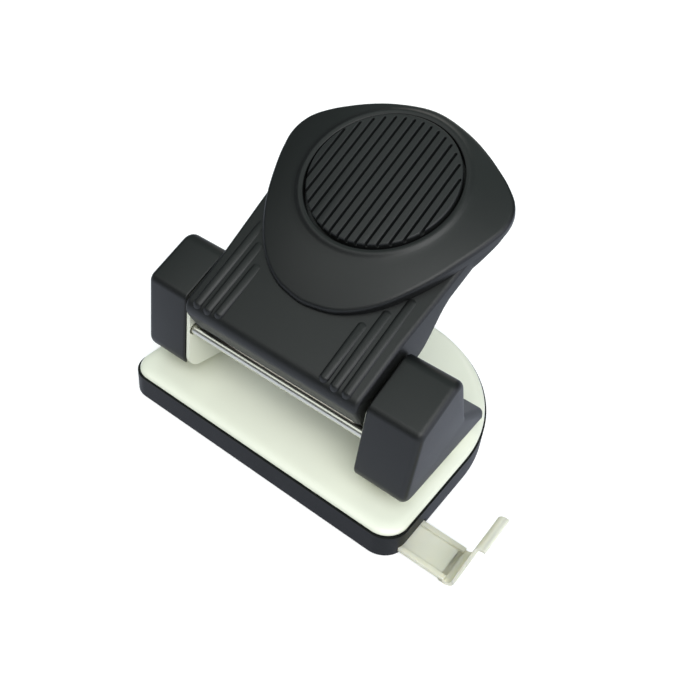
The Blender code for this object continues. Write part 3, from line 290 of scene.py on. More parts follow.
class PunchSizes(bpy.types.PropertyGroup):
    """Sizes that a user may change without leaving the frame."""

    tray_edge: length_setting("Tray edge", "Rounding of the tray's upper edges", 0.3)
    roll_run: length_setting("Plate roll width", "Width of the steel plate's rolled edge", 4.0)
    roll_drop: length_setting("Plate roll drop", "Drop of the steel plate's rolled edge", 1.7)
    plate_sheet: length_setting("Plate sheet", "Thickness of the steel plate", 1.2)
    cover_round: length_setting("Cover edge", "Rounding of the covers' outer edges", 2.0)
    cover_wall: length_setting("Cover wall", "Wall thickness of the side covers", 1.6)
    shell_top: length_setting("Handle top", "Height of the handle's top face", 15.4)
    shell_nose: length_setting("Handle nose", "Rounding of the handle's front edge", 4.0)
    shell_edge: length_setting("Handle edge", "Rounding of the handle's side edges", 1.3)
    shell_wall: length_setting("Handle wall", "Wall thickness of the handle shell", 1.25)
    rib_height: length_setting("Rib height", "Height of the grip ribs on the handle", 1.0)
    rib_width: length_setting("Rib width", "Width of the grip ribs on the handle", 3.0)
    palm_top: length_setting("Palm rest top", "Height of the palm rest at its pocket", 21.35)
    bead: length_setting("Bead", "Height of the bead round the pocket", 0.45)
    palm_edge: length_setting("Palm rest edge", "Rounding of the palm rest's rim", 1.1)
    pocket: length_setting("Pocket radius", "Radius of the pocket for the grip disc", 22.4)
    disc: length_setting("Grip disc radius", "Radius of the ribbed grip disc", 21.7)
    disc_rise: length_setting("Grip disc rise", "Height of the disc over the pocket's edge", 0.8)
    groove: length_setting("Groove width", "Width of the grip disc's grooves", 0.74)


class PunchColours(bpy.types.PropertyGroup):
    """Colours of the finishes and the studio's light."""

    plastic: colour_setting("Plastic", "Black moulded plastic", (0.0036, 0.0042, 0.0042))
    grip: colour_setting("Grip", "Ribbed grip disc", (0.0070, 0.0080, 0.0080))
    paint: colour_setting("Enamel", "Cream enamel on the steel", (0.875, 0.89, 0.76))
    ivory: colour_setting("Gauge", "Ivory plastic of the paper gauge", (0.84, 0.805, 0.655))
    steel: colour_setting("Steel", "Polished steel", (0.72, 0.72, 0.73))
    # Polished steel with a warm tint painted into its colour: a painted reflection of the cream plate
    shaft: colour_setting("Shaft", "Polished steel of the pivot shaft", (0.68, 0.67, 0.60))
    zinc: colour_setting("Plating", "Zinc plated steel", (0.46, 0.46, 0.46))
    blackened: colour_setting("Blackening", "Blackened steel", (0.020, 0.020, 0.021))
    floor: colour_setting("Floor", "Studio floor", (0.68, 0.68, 0.68))
    # Painted reflection: the floor glows in this bluish colour only where glossy faces see it, which lightens and
    # tints their reflections
    sheen: colour_setting("Floor sheen", "Light of the floor in glossy faces", (0.15, 0.17, 0.30))
    sky: colour_setting("Surround", "Light from above all round", (0.46, 0.57, 0.54))
    horizon: colour_setting("Horizon", "Light from low down all round", (0.07, 0.075, 0.08))
    key_power: power_setting("Key lamp", "Power of the lamp above on the left", 2.6)
    fill_power: power_setting("Fill lamp", "Power of the lamp in front on the right", 9.8)
    side_power: power_setting("Side lamp", "Power of the lamp on the right", 2.6)
    back_power: power_setting("Back lamp", "Power of the lamp at the back", 1.0)


class Signal:
    """What comes out of one socket, with Python's own signs for its sums."""

    def __init__(self, tree, socket):
        self.tree = tree
        self.socket = socket

    def sum_with(self, operation, first, second):
        node = self.tree.nodes.new("ShaderNodeMath")
        node.operation = operation
        plug(self.tree, first, node.inputs[0])
        plug(self.tree, second, node.inputs[1])
        return Signal(self.tree, node.outputs[0])

    def __add__(self, other):
        return self.sum_with("ADD", self, other)

    def __radd__(self, other):
        return self.sum_with("ADD", other, self)

    def __sub__(self, other):
        return self.sum_with("SUBTRACT", self, other)

    def __rsub__(self, other):
        return self.sum_with("SUBTRACT", other, self)

    def __mul__(self, other):
        return self.sum_with("MULTIPLY", self, other)

    def __rmul__(self, other):
        return self.sum_with("MULTIPLY", other, self)


def plug(tree, value, socket):
    """Links a signal to a socket, or sets the socket to a plain value."""
    if isinstance(value, Signal):
        tree.links.new(value.socket, socket)
    else:
        socket.default_value = value


class NodeWork:
    """A node tree as it is being made."""

    def __init__(self, tree):
        self.tree = tree

    def node(self, kind, settings, inputs, output=0):
        """Adds a node: its own settings first, then the values and links of its sockets."""
        made = self.tree.nodes.new(kind)
        for name, value in settings.items():
            setattr(made, name, value)
        for name, value in inputs.items():
            plug(self.tree, value, made.inputs[name])
        return None if output is None else Signal(self.tree, made.outputs[output])

    def place(self, scale=(1.0, 1.0, 1.0), turn=(0.0, 0.0, 0.0)):
        """Object coordinates, stretched and turned."""
        where = self.node("ShaderNodeTexCoord", {}, {}, "Object")
        return self.node("ShaderNodeMapping", {}, {"Vector": where, "Scale": scale, "Rotation": turn})

    def noise(self, vector, scale, detail=3.0, roughness=0.5):
        inputs = {"Vector": vector, "Scale": scale, "Detail": detail, "Roughness": roughness}
        return self.node("ShaderNodeTexNoise", {}, inputs)

    def shade(self, amount, dark, light):
        """A colour between two others, which are plain or signals too."""
        ends = [end if isinstance(end, Signal) else (*end, 1.0) for end in (dark, light)]
        inputs = {0: amount, 6: ends[0], 7: ends[1]}
        return self.node("ShaderNodeMix", {"data_type": "RGBA"}, inputs, 2)

    def band(self, value, low, high):
        """0 below one value and 1 above the other."""
        inputs = {"Value": value, "From Min": low, "From Max": high}
        return self.node("ShaderNodeMapRange", {"interpolation_type": "SMOOTHSTEP"}, inputs)

    def bump(self, height, distance, strength=1.0):
        inputs = {"Height": height, "Distance": distance, "Strength": strength}
        return self.node("ShaderNodeBump", {}, inputs)


class Finish(NodeWork):
    """A material as it is being made."""

    def __init__(self, name):
        self.material = bpy.data.materials.new(name)
        self.material.use_nodes = True
        super().__init__(self.material.node_tree)
        self.shader = self.tree.nodes["Principled BSDF"]

    def feed(self, **inputs):
        """Sets the shader's sockets, named with underscores for spaces."""
        for name, value in inputs.items():
            plug(self.tree, value, self.shader.inputs[name.replace("_", " ")])
        return self.material


def tint(colour, factor):
    return tuple(min(part * factor, 1.0) for part in colour)


def moulded_plastic(name, colour, roughness, grain, gloss=0.5):
    """Satin plastic with a fine grain, a little uneven in colour and sheen, and paler where it is rubbed."""
    finish = Finish(name)
    place = finish.place()
    fine = finish.noise(place, 5200.0, 2.0, 0.6)
    broad = finish.noise(place, 46.0, 3.0, 0.55)
    streaks = finish.noise(finish.place((1.0, 0.16, 1.0), (0.0, 0.0, 0.5)), 620.0, 3.0, 0.6)
    rubbed = finish.band(streaks, 0.62, 0.82) * 0.35
    mix = broad * 0.8 + rubbed
    return finish.feed(
        Base_Color=finish.shade(mix, tint(colour, 0.8), tint(colour, 1.45)),
        Roughness=roughness - 0.07 + broad * 0.12 + fine * 0.06 - rubbed * 0.08,
        IOR=1.47,
        Specular_IOR_Level=gloss,
        Normal=finish.bump(fine + streaks * 0.15, grain, 0.6),
    )


def enamel(name, colour):
    """Sprayed enamel: a faint orange peel, slightly uneven cover, a thin clear gloss."""
    finish = Finish(name)
    place = finish.place()
    peel = finish.noise(place, 900.0, 2.0, 0.5)
    fine = finish.noise(place, 4200.0, 2.0, 0.5)
    cover = finish.noise(place, 38.0, 3.0, 0.5)
    return finish.feed(
        Base_Color=finish.shade(cover, tint(colour, 0.96), tint(colour, 1.03)),
        Roughness=0.27 + cover * 0.08 + fine * 0.04,
        Coat_Weight=0.25,
        Coat_Roughness=0.12,
        Normal=finish.bump(peel + fine * 0.2, 0.000012, 0.7),
    )


def milky_plastic(name, colour):
    """Ivory plastic that lets a little light through, with faint drag lines from the tray's rails."""
    finish = Finish(name)
    place = finish.place()
    cloud = finish.noise(place, 70.0, 3.0, 0.5)
    drag = finish.noise(finish.place((0.05, 1.0, 1.0)), 1500.0, 2.0, 0.5)
    worn = finish.band(drag, 0.6, 0.75)
    return finish.feed(
        Base_Color=finish.shade(cloud, tint(colour, 0.93), tint(colour, 1.07)),
        Roughness=0.30 + worn * 0.12 + cloud * 0.06,
        Subsurface_Weight=0.6,
        Subsurface_Radius=(0.0030, 0.0027, 0.0021),
        Subsurface_Scale=1.0,
        Normal=finish.bump(drag, 0.00001, 0.5),
    )


def turned_steel(name, colour, roughness, across):
    """Steel with fine marks along the axis that the tool or the drawing die ran along."""
    finish = Finish(name)
    marks = finish.noise(finish.place(across), 2600.0, 3.0, 0.6)
    smear = finish.noise(finish.place(), 160.0, 2.0, 0.5)
    return finish.feed(
        Base_Color=finish.shade(marks * 0.6 + smear * 0.4, tint(colour, 0.86), tint(colour, 1.1)),
        Metallic=1.0,
        Roughness=roughness + marks * 0.12 + smear * 0.06,
        Normal=finish.bump(marks, 0.000006, 0.5),
    )


def plated_steel(name, colour):
    """Zinc plate: cloudy grey, with small spangles and duller patches."""
    finish = Finish(name)
    place = finish.place()
    spangle = finish.node("ShaderNodeTexVoronoi", {"feature": "F1"}, {"Vector": place, "Scale": 900.0})
    cloud = finish.noise(place, 210.0, 4.0, 0.6)
    return finish.feed(
        Base_Color=finish.shade(cloud * 0.7 + spangle * 0.3, tint(colour, 0.8), tint(colour, 1.2)),
        Metallic=0.9,
        Roughness=0.32 + cloud * 0.16,
        Normal=finish.bump(cloud + spangle * 0.4, 0.00001, 0.6),
    )


def blackened_steel(name, colour):
    """Chemically blackened sheet: nearly black and oily, with brownish patches."""
    finish = Finish(name)
    place = finish.place()
    cloud = finish.noise(place, 260.0, 4.0, 0.6)
    fine = finish.noise(place, 3000.0, 2.0, 0.5)
    return finish.feed(
        Base_Color=finish.shade(cloud, tint(colour, 0.7), (colour[0] * 1.7, colour[1] * 1.4, colour[2] * 1.2)),
        Metallic=0.6,
        Roughness=0.38 + cloud * 0.14,
        Normal=finish.bump(cloud + fine * 0.3, 0.00001, 0.5),
    )


def millimetres(values):
    return tuple(value * MM for value in values)


def new_verts(geometry):
    return [item for item in geometry if isinstance(item, bmesh.types.BMVert)]


def first_face(geometry):
    return next(item for item in geometry if isinstance(item, bmesh.types.BMFace))


def face_outwards(shape):
    bmesh.ops.recalc_face_normals(shape, faces=shape.faces)


def bevel(shape, geometry, offset, segments, affect="EDGES"):
    bmesh.ops.bevel(
        shape,
        geom=geometry,
        offset=offset,
        offset_type="OFFSET",
        segments=segments,
        profile=0.5,
        affect=affect,
        material=-1,
    )


def draw_out(shape, face, vector):
    """Draws a face along a vector and returns its new place and points."""
    drawn = bmesh.ops.extrude_face_region(shape, geom=[face])["geom"]
    verts = new_verts(drawn)
    bmesh.ops.translate(shape, verts=verts, vec=vector)
    return first_face(drawn), verts


def rounded_face(shape, corners, plane, at, steps=10):
    """A face in the plane square to an axis, from (one, other, radius) corners in millimetres."""
    place = {
        "X": lambda one, other: (at, FRONT + one * MM, other * MM),
        "Z": lambda one, other: (one * MM, other * MM, at),
    }[plane]
    verts = [shape.verts.new(place(one, other)) for one, other, _ in corners]
    spots = [vert.co.copy() for vert in verts]
    shape.faces.new(verts)
    for index, (_, _, radius) in enumerate(corners):
        if radius:
            before = spots[index - 1] - spots[index]
            after = spots[(index + 1) % len(spots)] - spots[index]
            bevel(shape, [verts[index]], radius * MM / math.tan(before.angle(after) / 2), steps, "VERTICES")
    return max(shape.faces, key=lambda face: len(face.verts))


def prism(corners, plane, low, high, steps=10):
    """A rounded face drawn out along its axis."""
    shape = bmesh.new()
    face = rounded_face(shape, corners, plane, low, steps)
    draw_out(shape, face, (high - low, 0.0, 0.0) if plane == "X" else (0.0, 0.0, high - low))
    face_outwards(shape)
    return shape


def turned(profile, axis, centre, steps=64):
    """A turned shape from (radius, place along the axis) pairs, in metres, closed at both ends."""
    shape = bmesh.new()
    points = [(0.0, profile[0][1]), *profile, (0.0, profile[-1][1])]
    verts = [shape.verts.new((radius, 0.0, along)) for radius, along in points]
    edges = [shape.edges.new(pair) for pair in zip(verts, verts[1:])]
    bmesh.ops.spin(
        shape, geom=verts + edges, cent=(0, 0, 0), axis=(0, 0, 1), angle=math.tau, steps=steps, use_merge=True
    )
    bmesh.ops.remove_doubles(shape, verts=shape.verts, dist=1e-7)
    face_outwards(shape)
    turn = Matrix.Rotation(math.pi / 2, 4, "Y") if axis == "X" else Matrix.Identity(4)
    bmesh.ops.transform(shape, matrix=Matrix.Translation(centre) @ turn, verts=shape.verts)
    return shape


def box(low, high):
    """A box between two corners, in metres."""
    low, high = Vector(low), Vector(high)
    shape = bmesh.new()
    bmesh.ops.create_cube(shape, size=1.0)
    bmesh.ops.scale(shape, vec=high - low, verts=shape.verts)
    bmesh.ops.translate(shape, vec=(low + high) / 2, verts=shape.verts)
    return shape


def joined(*shapes):
    """Several shapes in one bmesh, not welded."""
    whole = bmesh.new()
    for shape in shapes:
        carrier = bpy.data.meshes.new("carrier")
        shape.to_mesh(carrier)
        shape.free()
        whole.from_mesh(carrier)
        bpy.data.meshes.remove(carrier)
    return whole


def plain_object(name, shape):
    mesh = bpy.data.meshes.new(name)
    shape.to_mesh(mesh)
    shape.free()
    made = bpy.data.objects.new(name, mesh)
    bpy.context.scene.collection.objects.link(made)
    return made


def carved(shape, wall=0.0, additions=(), cuts=(), even=True):
    """The shape given a wall, with other shapes joined on and others cut out."""
    body = plain_object("body", shape)
    tools = []
    if wall:
        thick = body.modifiers.new("wall", "SOLIDIFY")
        thick.thickness = wall
        thick.offset = -1.0
        thick.use_even_offset = even
    for operation, group in (("UNION", additions), ("DIFFERENCE", cuts)):
        for tool in group:
            tools.append(plain_object("tool", tool))
            change = body.modifiers.new("change", "BOOLEAN")
            change.operation = operation
            change.object = tools[-1]
            change.solver = "EXACT"
    bpy.context.view_layer.update()
    evaluated = body.evaluated_get(bpy.context.evaluated_depsgraph_get())
    result = bmesh.new()
    result.from_mesh(evaluated.to_mesh())
    evaluated.to_mesh_clear()
    for spent in [body, *tools]:
        mesh = spent.data
        bpy.data.objects.remove(spent)
        bpy.data.meshes.remove(mesh)
    bmesh.ops.remove_doubles(result, verts=result.verts, dist=1e-7)
    return result


def finish_piece(name, shape, body, material, nodes, edge=0.0, place=None):
    """Makes the shape an object that rides on a body and stands for CAD nodes."""
    if place:
        bmesh.ops.transform(shape, matrix=place, verts=shape.verts)
    made = plain_object(name, shape)
    made.data.materials.append(material)
    made.data.shade_smooth()
    made.data.set_sharp_from_angle(angle=CREASE)
    if edge:
        soft = made.modifiers.new("edges", "BEVEL")
        soft.width = edge
        soft.segments = 3
        soft.limit_method = "ANGLE"
        soft.angle_limit = CREASE
        soft.harden_normals = True
    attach(made, body)
    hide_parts(*nodes)
    return made


def repaint(material, *nodes):
    """Gives CAD nodes that stay a better material."""
    for name in nodes:
        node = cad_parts[name]
        node.data.materials.clear()
        node.data.materials.append(material)


def tray_plan(margin):
    """The D-shaped plan of tray and plate, in millimetres, moved in by a margin."""
    side = TRAY_HIGH.x / MM - margin
    front = TRAY_LOW.y / MM + margin
    back = TRAY_HIGH.y / MM - margin
    return (
        (-side, front, FRONT_CORNER - margin),
        (side, front, FRONT_CORNER - margin),
        (side, back, BACK_CORNER - margin),
        (-side, back, BACK_CORNER - margin),
    )


def raise_face(shape, face, height):
    """Draws a face straight up and returns its new place and points. A lone face also stays, as the underside."""
    lone = all(edge.is_boundary for edge in face.edges)
    raised = draw_out(shape, face, (0.0, 0.0, height))
    if not lone:
        bmesh.ops.delete(shape, geom=[face], context="FACES_ONLY")
    return raised


def step_in(shape, face, thickness, depth):
    """Moves a face inwards within its own plane, then along its normal."""
    if thickness:
        bmesh.ops.inset_region(
            shape, faces=[face], thickness=thickness * MM, depth=depth * MM, use_boundary=True, use_even_offset=True
        )
        return face
    return raise_face(shape, face, depth * MM)[0]


def tray_shape():
    shape = bmesh.new()
    foot = TRAY_FOOT
    face = rounded_face(shape, tray_plan(foot), "Z", 0.0, 32)
    face, rim = raise_face(shape, face, foot * MM)
    wide = TRAY_HIGH.x / (TRAY_HIGH.x - foot * MM)
    long = TRAY_HIGH.y / (TRAY_HIGH.y - foot * MM)
    bmesh.ops.scale(shape, vec=(wide, long, 1.0), verts=rim)
    if face.normal.z < 0:
        face.normal_flip()
    for thickness, depth in TRAY_STEPS:
        face = step_in(shape, face, thickness, depth)
    face_outwards(shape)
    low = Vector(millimetres(CHANNEL_LOW)) + Vector((0.0, FRONT, 0.0))
    high = Vector(millimetres(CHANNEL_HIGH)) + Vector((0.0, FRONT, 0.0))
    wall = CHANNEL_WALL * MM
    lip = CHANNEL_LIP * MM
    roof = box((low.x - wall, low.y - wall, low.z), (TRAY_HIGH.x - TRAY_WALL * MM, high.y + wall, high.z + wall))
    channel = box(low, high)
    slit = box((low.x, low.y + lip, low.z - SLIT_DEPTH * MM), (high.x, high.y - lip, (low.z + high.z) / 2))
    return carved(shape, additions=[roof], cuts=[channel, slit])


def plate_shape(sizes):
    """The plate: its edge rolls down in a quarter of an ellipse on to the tray's wall."""
    shape = bmesh.new()
    face = rounded_face(shape, tray_plan(PLATE_INSET), "Z", PLATE_LOW.z, 32)
    top, _ = raise_face(shape, face, PLATE_HIGH.z - sizes.roll_drop - PLATE_LOW.z)
    if top.normal.z < 0:
        top.normal_flip()
    run, drop = sizes.roll_run / MM, sizes.roll_drop / MM
    turns = [math.pi / 2 * (1 - step / ROLL_STEPS) for step in range(ROLL_STEPS + 1)]
    for before, after in zip(turns, turns[1:]):
        across = run * (math.sin(before) - math.sin(after))
        top = step_in(shape, top, across, drop * (math.cos(after) - math.cos(before)))
    face_outwards(shape)
    lowest = [face for face in shape.faces if face.normal.z < -0.9]
    bmesh.ops.delete(shape, geom=lowest, context="FACES_ONLY")
    holes = []
    for _, side in SIDES:
        places = [(GUIDE_RADIUS, *PUNCH_PLACE)] + [(RIVET_HOLE, *place) for place in RIVET_PLACES]
        for radius, x, setback in places:
            reach = [(radius * MM, end * HOLE_REACH * MM) for end in (-1, 1)]
            holes.append(turned(reach, "Z", (side * x * MM, FRONT + setback * MM, PLATE_HIGH.z), 32))
    return carved(shape, sizes.plate_sheet, cuts=[joined(*holes)])


def bracket_shape(side):
    inner, wall, ear, outer = [side * value * MM for value in BRACKET_ACROSS]
    middle = (inner + wall) / 2
    ear_middle = (ear + outer) / 2
    punch = (side * PUNCH_PLACE[0] * MM, FRONT + PUNCH_PLACE[1] * MM, 0.0)
    radius, low, high = millimetres(COLLAR)
    additions = [
        prism(BRACKET_FLOOR_VIEW, "X", middle, ear_middle),
        prism(BRACKET_EAR_VIEW, "X", ear, outer),
        turned(((radius, low), (radius, high)), "Z", punch, 40),
    ]
    run = 3 * MM
    guide = GUIDE_RADIUS * MM
    front, back, bottom, top, round_ = BAR_WINDOW
    window = ((front, bottom, round_), (back, bottom, round_), (back, top, round_), (front, top, round_))
    through = (inner - side * run, wall + side * run / 5)
    cuts = [
        turned([(guide, end * MM) for end in GUIDE_SPAN], "Z", punch, 40),
        prism(window, "X", *through),
        turned([(SHAFT_HOLE * MM, end) for end in sorted(through)], "X", (0.0, PIVOT.y, PIVOT.z), 40),
    ]
    for x, setback in RIVET_PLACES:
        hole = [(RIVET_HOLE * MM, end * MM) for end in RIVET_SPAN]
        cuts.append(turned(hole, "Z", (side * x * MM, FRONT + setback * MM, 0.0), 32))
    return carved(prism(BRACKET_VIEW, "X", inner, wall), additions=additions, cuts=cuts)


def cover_shape(sizes, side):
    """A side cover, open inwards and below. The right one's rim reaches in over the edge of its bracket."""
    inner, outer = side * COVER_LOW.x, side * COVER_HIGH.x
    rim_at = COVER_LIP * MM if side > 0 else inner
    shape = prism(COVER_VIEW, "X", rim_at, outer, 12)
    for face, offset in ((outer, sizes.cover_round), (rim_at, COVER_RIM_ROUND * MM)):
        rim = [edge for edge in shape.edges if all(abs(vert.co.x - face) < 1e-6 for vert in edge.verts)]
        bevel(shape, rim, offset, 6)
    if side > 0:
        cuts = [prism(BRACKET_CLEARANCE, "X", rim_at - MM, inner + 0.05 * MM)]
        cuts.append(prism(COVER_HOLLOW, "X", inner, outer - sizes.cover_wall))
    else:
        cuts = [prism(COVER_HOLLOW, "X", inner + MM, outer + sizes.cover_wall)]
    seat = abs(SHAFT_HIGH.x) + STOP_GAP * MM
    near, far = sorted((side * seat, side * (seat + STOP_LENGTH * MM)))
    size = STOP_SIZE * MM
    stop = box((near, PIVOT.y - STOP_FRONT * MM, PIVOT.z - size), (far, PIVOT.y + size, PIVOT.z + size))
    return joined(carved(shape, cuts=cuts), stop)


def palm_reaches():
    """(turn from the front tip, reach) pairs of the palm rest's plan, in millimetres."""
    points = [(across * PALM_HALF_WIDTH, -along * PALM_FRONT_REACH) for across, along in PALM_FRONT_SHARES]
    points += [(across * PALM_HALF_WIDTH, along * PALM_REAR_REACH) for across, along in PALM_REAR_SHARES]
    return [(math.atan2(x, -y), math.hypot(x, y)) for x, y in points]


PALM_REACHES = palm_reaches()


def palm_reach(turn):
    """Reach of the plan at a turn from the front tip, on a smooth curve through the measured ones."""
    turn = abs((turn + math.pi) % math.tau - math.pi)
    pairs = [(-PALM_REACHES[1][0], PALM_REACHES[1][1]), *PALM_REACHES]
    pairs.append((math.tau - PALM_REACHES[-2][0], PALM_REACHES[-2][1]))
    for before, start, end, after in zip(pairs, pairs[1:], pairs[2:], pairs[3:]):
        if start[0] <= turn <= end[0]:
            span = end[0] - start[0]
            share = (turn - start[0]) / span
            rise_in = (end[1] - before[1]) / (end[0] - before[0]) * span
            rise_out = (after[1] - start[1]) / (after[0] - start[0]) * span
            cube, square = share**3, share**2
            return (
                (2 * cube - 3 * square + 1) * start[1]
                + (cube - 2 * square + share) * rise_in
                + (3 * square - 2 * cube) * end[1]
                + (cube - square) * rise_out
            )
    return PALM_REACHES[-1][1]


def palm_point(turn, inset=0.0):
    """A point of the palm rest's plan in the handle's frame, in metres."""
    reach = palm_reach(turn) - inset
    return reach * math.sin(turn) * MM, (PALM_CENTRE - reach * math.cos(turn)) * MM


def palm_fall(beyond):
    """How far the palm rest's face has fallen at a distance from the pocket, both in millimetres."""
    return PALM_SLOPE * beyond + beyond * beyond / PALM_CROWN


def bead_rise(beyond):
    """Share of the bead's height at a distance from the pocket in millimetres."""
    return math.exp(-(((beyond - BEAD_PLACE) / BEAD_SPREAD) ** 2))


def palm_row(row, reach):
    """Distance of a row of points from the pocket, where the rest reaches so far beyond it, in millimetres."""
    if row < len(PALM_ROWS):
        return PALM_ROWS[row]
    share = (row - len(PALM_ROWS) + 1) / PALM_SPREAD
    return PALM_ROWS[-1] + (reach - PALM_RIM - PALM_ROWS[-1]) * share


def shell_shape(sizes):
    shape = bmesh.new()
    right = [(x * MM, y * MM) for x, y in SHELL_FRONT_PLAN]
    rear = []
    for step in range(PALM_TURNS):
        x, y = palm_point(math.tau * step / PALM_TURNS, PALM_OVERHANG)
        if y > SHELL_WAIST * MM:
            rear.append((x, y))
    left = [(-x, y) for x, y in reversed(right)]
    top = shape.faces.new([shape.verts.new((x, y, sizes.shell_top)) for x, y in right + rear + left])
    face_outwards(shape)
    if top.normal.z < 0:
        top.normal_flip()
    drawn = bmesh.ops.extrude_edge_only(shape, edges=list(top.edges))
    bmesh.ops.translate(shape, verts=new_verts(drawn["geom"]), vec=(0.0, 0.0, -sizes.shell_top - MM))
    face_outwards(shape)
    if top.normal.z < 0:
        bmesh.ops.reverse_faces(shape, faces=shape.faces)
    nose = [edge for edge in top.edges if all(vert.co.y < 1.4 * MM for vert in edge.verts)]
    bevel(shape, nose, sizes.shell_nose, 10)
    top = max(shape.faces, key=lambda face: len(face.verts))
    rim = {edge for edge in top.edges if max(vert.co.y for vert in edge.verts) > 6 * MM}
    for edge in shape.edges:
        before_flare = max(vert.co.y for vert in edge.verts) < 8 * MM
        sides = [face for face in edge.link_faces if abs(face.normal.x) > 0.9]
        if before_flare and len(edge.link_faces) == 2 and len(sides) == 1:
            rim.add(edge)
    bevel(shape, list(rim), sizes.shell_edge, 5)
    below = [(y, z, 0.0) for y, z in SHELL_UNDERSIDE] + [(90.0, -5.0, 0.0), (0.0, -5.0, 0.0)]
    cutter = bmesh.new()
    face = cutter.faces.new([cutter.verts.new((-WIDE, y * MM, z * MM)) for y, z, _ in below])
    draw_out(cutter, face, (2 * WIDE, 0.0, 0.0))
    face_outwards(cutter)
    hollow = carved(shape, sizes.shell_wall, cuts=[cutter])
    lip_y, lip_z = SHELL_UNDERSIDE[1]
    lip = []
    for edge in hollow.edges:
        middle = (edge.verts[0].co + edge.verts[1].co) / 2
        if abs(middle.y - lip_y * MM) < 1e-5 and abs(middle.z - lip_z * MM) < 1e-5 and edge.calc_length() > 20 * MM:
            lip.append(edge)
    bevel(hollow, lip, LIP_ROUND * MM, 5)
    ribs = [rib_shape(sizes, side * x, start, end) for _, side in SIDES for x, start, end in RIBS]
    return joined(hollow, *ribs)


def rib_shape(sizes, x, start, end):
    """A soft rib that fades out towards the palm rest."""
    shape = bmesh.new()
    half = sizes.rib_width / 2 / MM
    corners = (
        (x - half, start, half * 0.98),
        (x + half, start, half * 0.98),
        (x + half, end, half * 0.98),
        (x - half, end, half * 0.98),
    )
    sunk = RIB_SUNK * MM
    face = rounded_face(shape, corners, "Z", sizes.shell_top - sunk, 8)
    top, _ = raise_face(shape, face, sunk + sizes.rib_height)
    rim = list(top.edges)
    face_outwards(shape)
    bevel(shape, rim, min(sizes.rib_height + sunk, half * MM) * 0.92, 8)
    fade = RIB_FADE * MM
    nose_start = NOSE_END * MM + sizes.shell_nose
    for vert in shape.verts:
        left = (end * MM - vert.co.y) / fade
        if left < 1.0 and vert.co.z > sizes.shell_top - sunk / 2:
            vert.co.z = sizes.shell_top - sunk / 2 + (vert.co.z - sizes.shell_top + sunk / 2) * max(left, 0.1) ** 0.7
        ahead = nose_start - vert.co.y
        if ahead > 0:
            vert.co.z -= RIB_DIP * (sizes.shell_nose - math.sqrt(sizes.shell_nose**2 - ahead**2))
    return shape


def palm_shape(sizes):
    shape = bmesh.new()
    inner = bmesh.ops.create_circle(shape, segments=PALM_TURNS, radius=sizes.pocket)["verts"]
    outer = bmesh.ops.create_circle(shape, segments=PALM_TURNS, radius=2 * sizes.pocket)["verts"]
    for vert in inner:
        vert.co.y += PALM_CENTRE * MM
    for vert in outer:
        vert.co.x, vert.co.y = palm_point(math.atan2(vert.co.x, -vert.co.y))
    bottom = sizes.shell_top + PALM_LIFT * MM
    bmesh.ops.bridge_loops(shape, edges=shape.edges[:])
    across = [edge for edge in shape.edges if (edge.verts[0] in inner) != (edge.verts[1] in inner)]
    rows = len(PALM_ROWS) + PALM_SPREAD
    bmesh.ops.subdivide_edges(shape, edges=across, cuts=rows, use_grid_fill=True)
    centre = Vector((0.0, PALM_CENTRE * MM, 0.0))
    for vert in shape.verts:
        out = vert.co - centre
        reach = palm_reach(math.atan2(out.x, -out.y)) - sizes.pocket / MM
        beyond = out.length / MM - sizes.pocket / MM
        row = round(beyond / reach * (rows + 1))
        if 0 < row <= rows:
            beyond = palm_row(row - 1, reach)
            vert.co = centre + out.normalized() * (sizes.pocket + beyond * MM)
        beyond = max(beyond, 0.0)
        vert.co.z = sizes.palm_top - palm_fall(beyond) * MM + sizes.bead * bead_rise(beyond)
    face_outwards(shape)
    if next(iter(shape.faces)).normal.z < 0:
        bmesh.ops.reverse_faces(shape, faces=shape.faces)
    pocket = []
    rim = []
    for edge in shape.edges:
        if edge.is_boundary:
            near = math.hypot(edge.verts[0].co.x, edge.verts[0].co.y - PALM_CENTRE * MM) < sizes.pocket + 0.1 * MM
            (pocket if near else rim).append(edge)
    skirt = bmesh.ops.extrude_edge_only(shape, edges=rim)
    for vert in new_verts(skirt["geom"]):
        vert.co.z = bottom
    well = bmesh.ops.extrude_edge_only(shape, edges=pocket)
    floor = [edge for edge in well["geom"] if isinstance(edge, bmesh.types.BMEdge)]
    for vert in new_verts(well["geom"]):
        vert.co.z = sizes.palm_top - POCKET_DEPTH * MM
    bmesh.ops.contextual_create(shape, geom=floor)
    face_outwards(shape)
    bevel(shape, rim, sizes.palm_edge, 6)
    bevel(shape, pocket, POCKET_EDGE * MM, 3)
    return carved(shape, PALM_WALL * MM, even=False)


def groove_cutter(sizes, x, front, back, top):
    """A round-ended slot along the handle, with its mouth rolled outwards."""
    shape = bmesh.new()
    half = sizes.groove / 2
    bmesh.ops.create_circle(shape, cap_ends=True, segments=26, radius=half)
    for vert in shape.verts:
        vert.co += Vector((x, back if vert.co.y > 0 else front, top + GROOVE_SECTION[0][1] * MM))
    shape.faces.ensure_lookup_table()
    face = shape.faces[0]
    for index, (wide, height) in enumerate(GROOVE_SECTION):
        if index:
            face, _ = raise_face(shape, face, (height - GROOVE_SECTION[index - 1][1]) * MM)
        for vert in face.verts:
            heart = Vector((x, min(max(vert.co.y, front), back), vert.co.z))
            vert.co = heart + (vert.co - heart).normalized() * half * wide
    face_outwards(shape)
    return shape


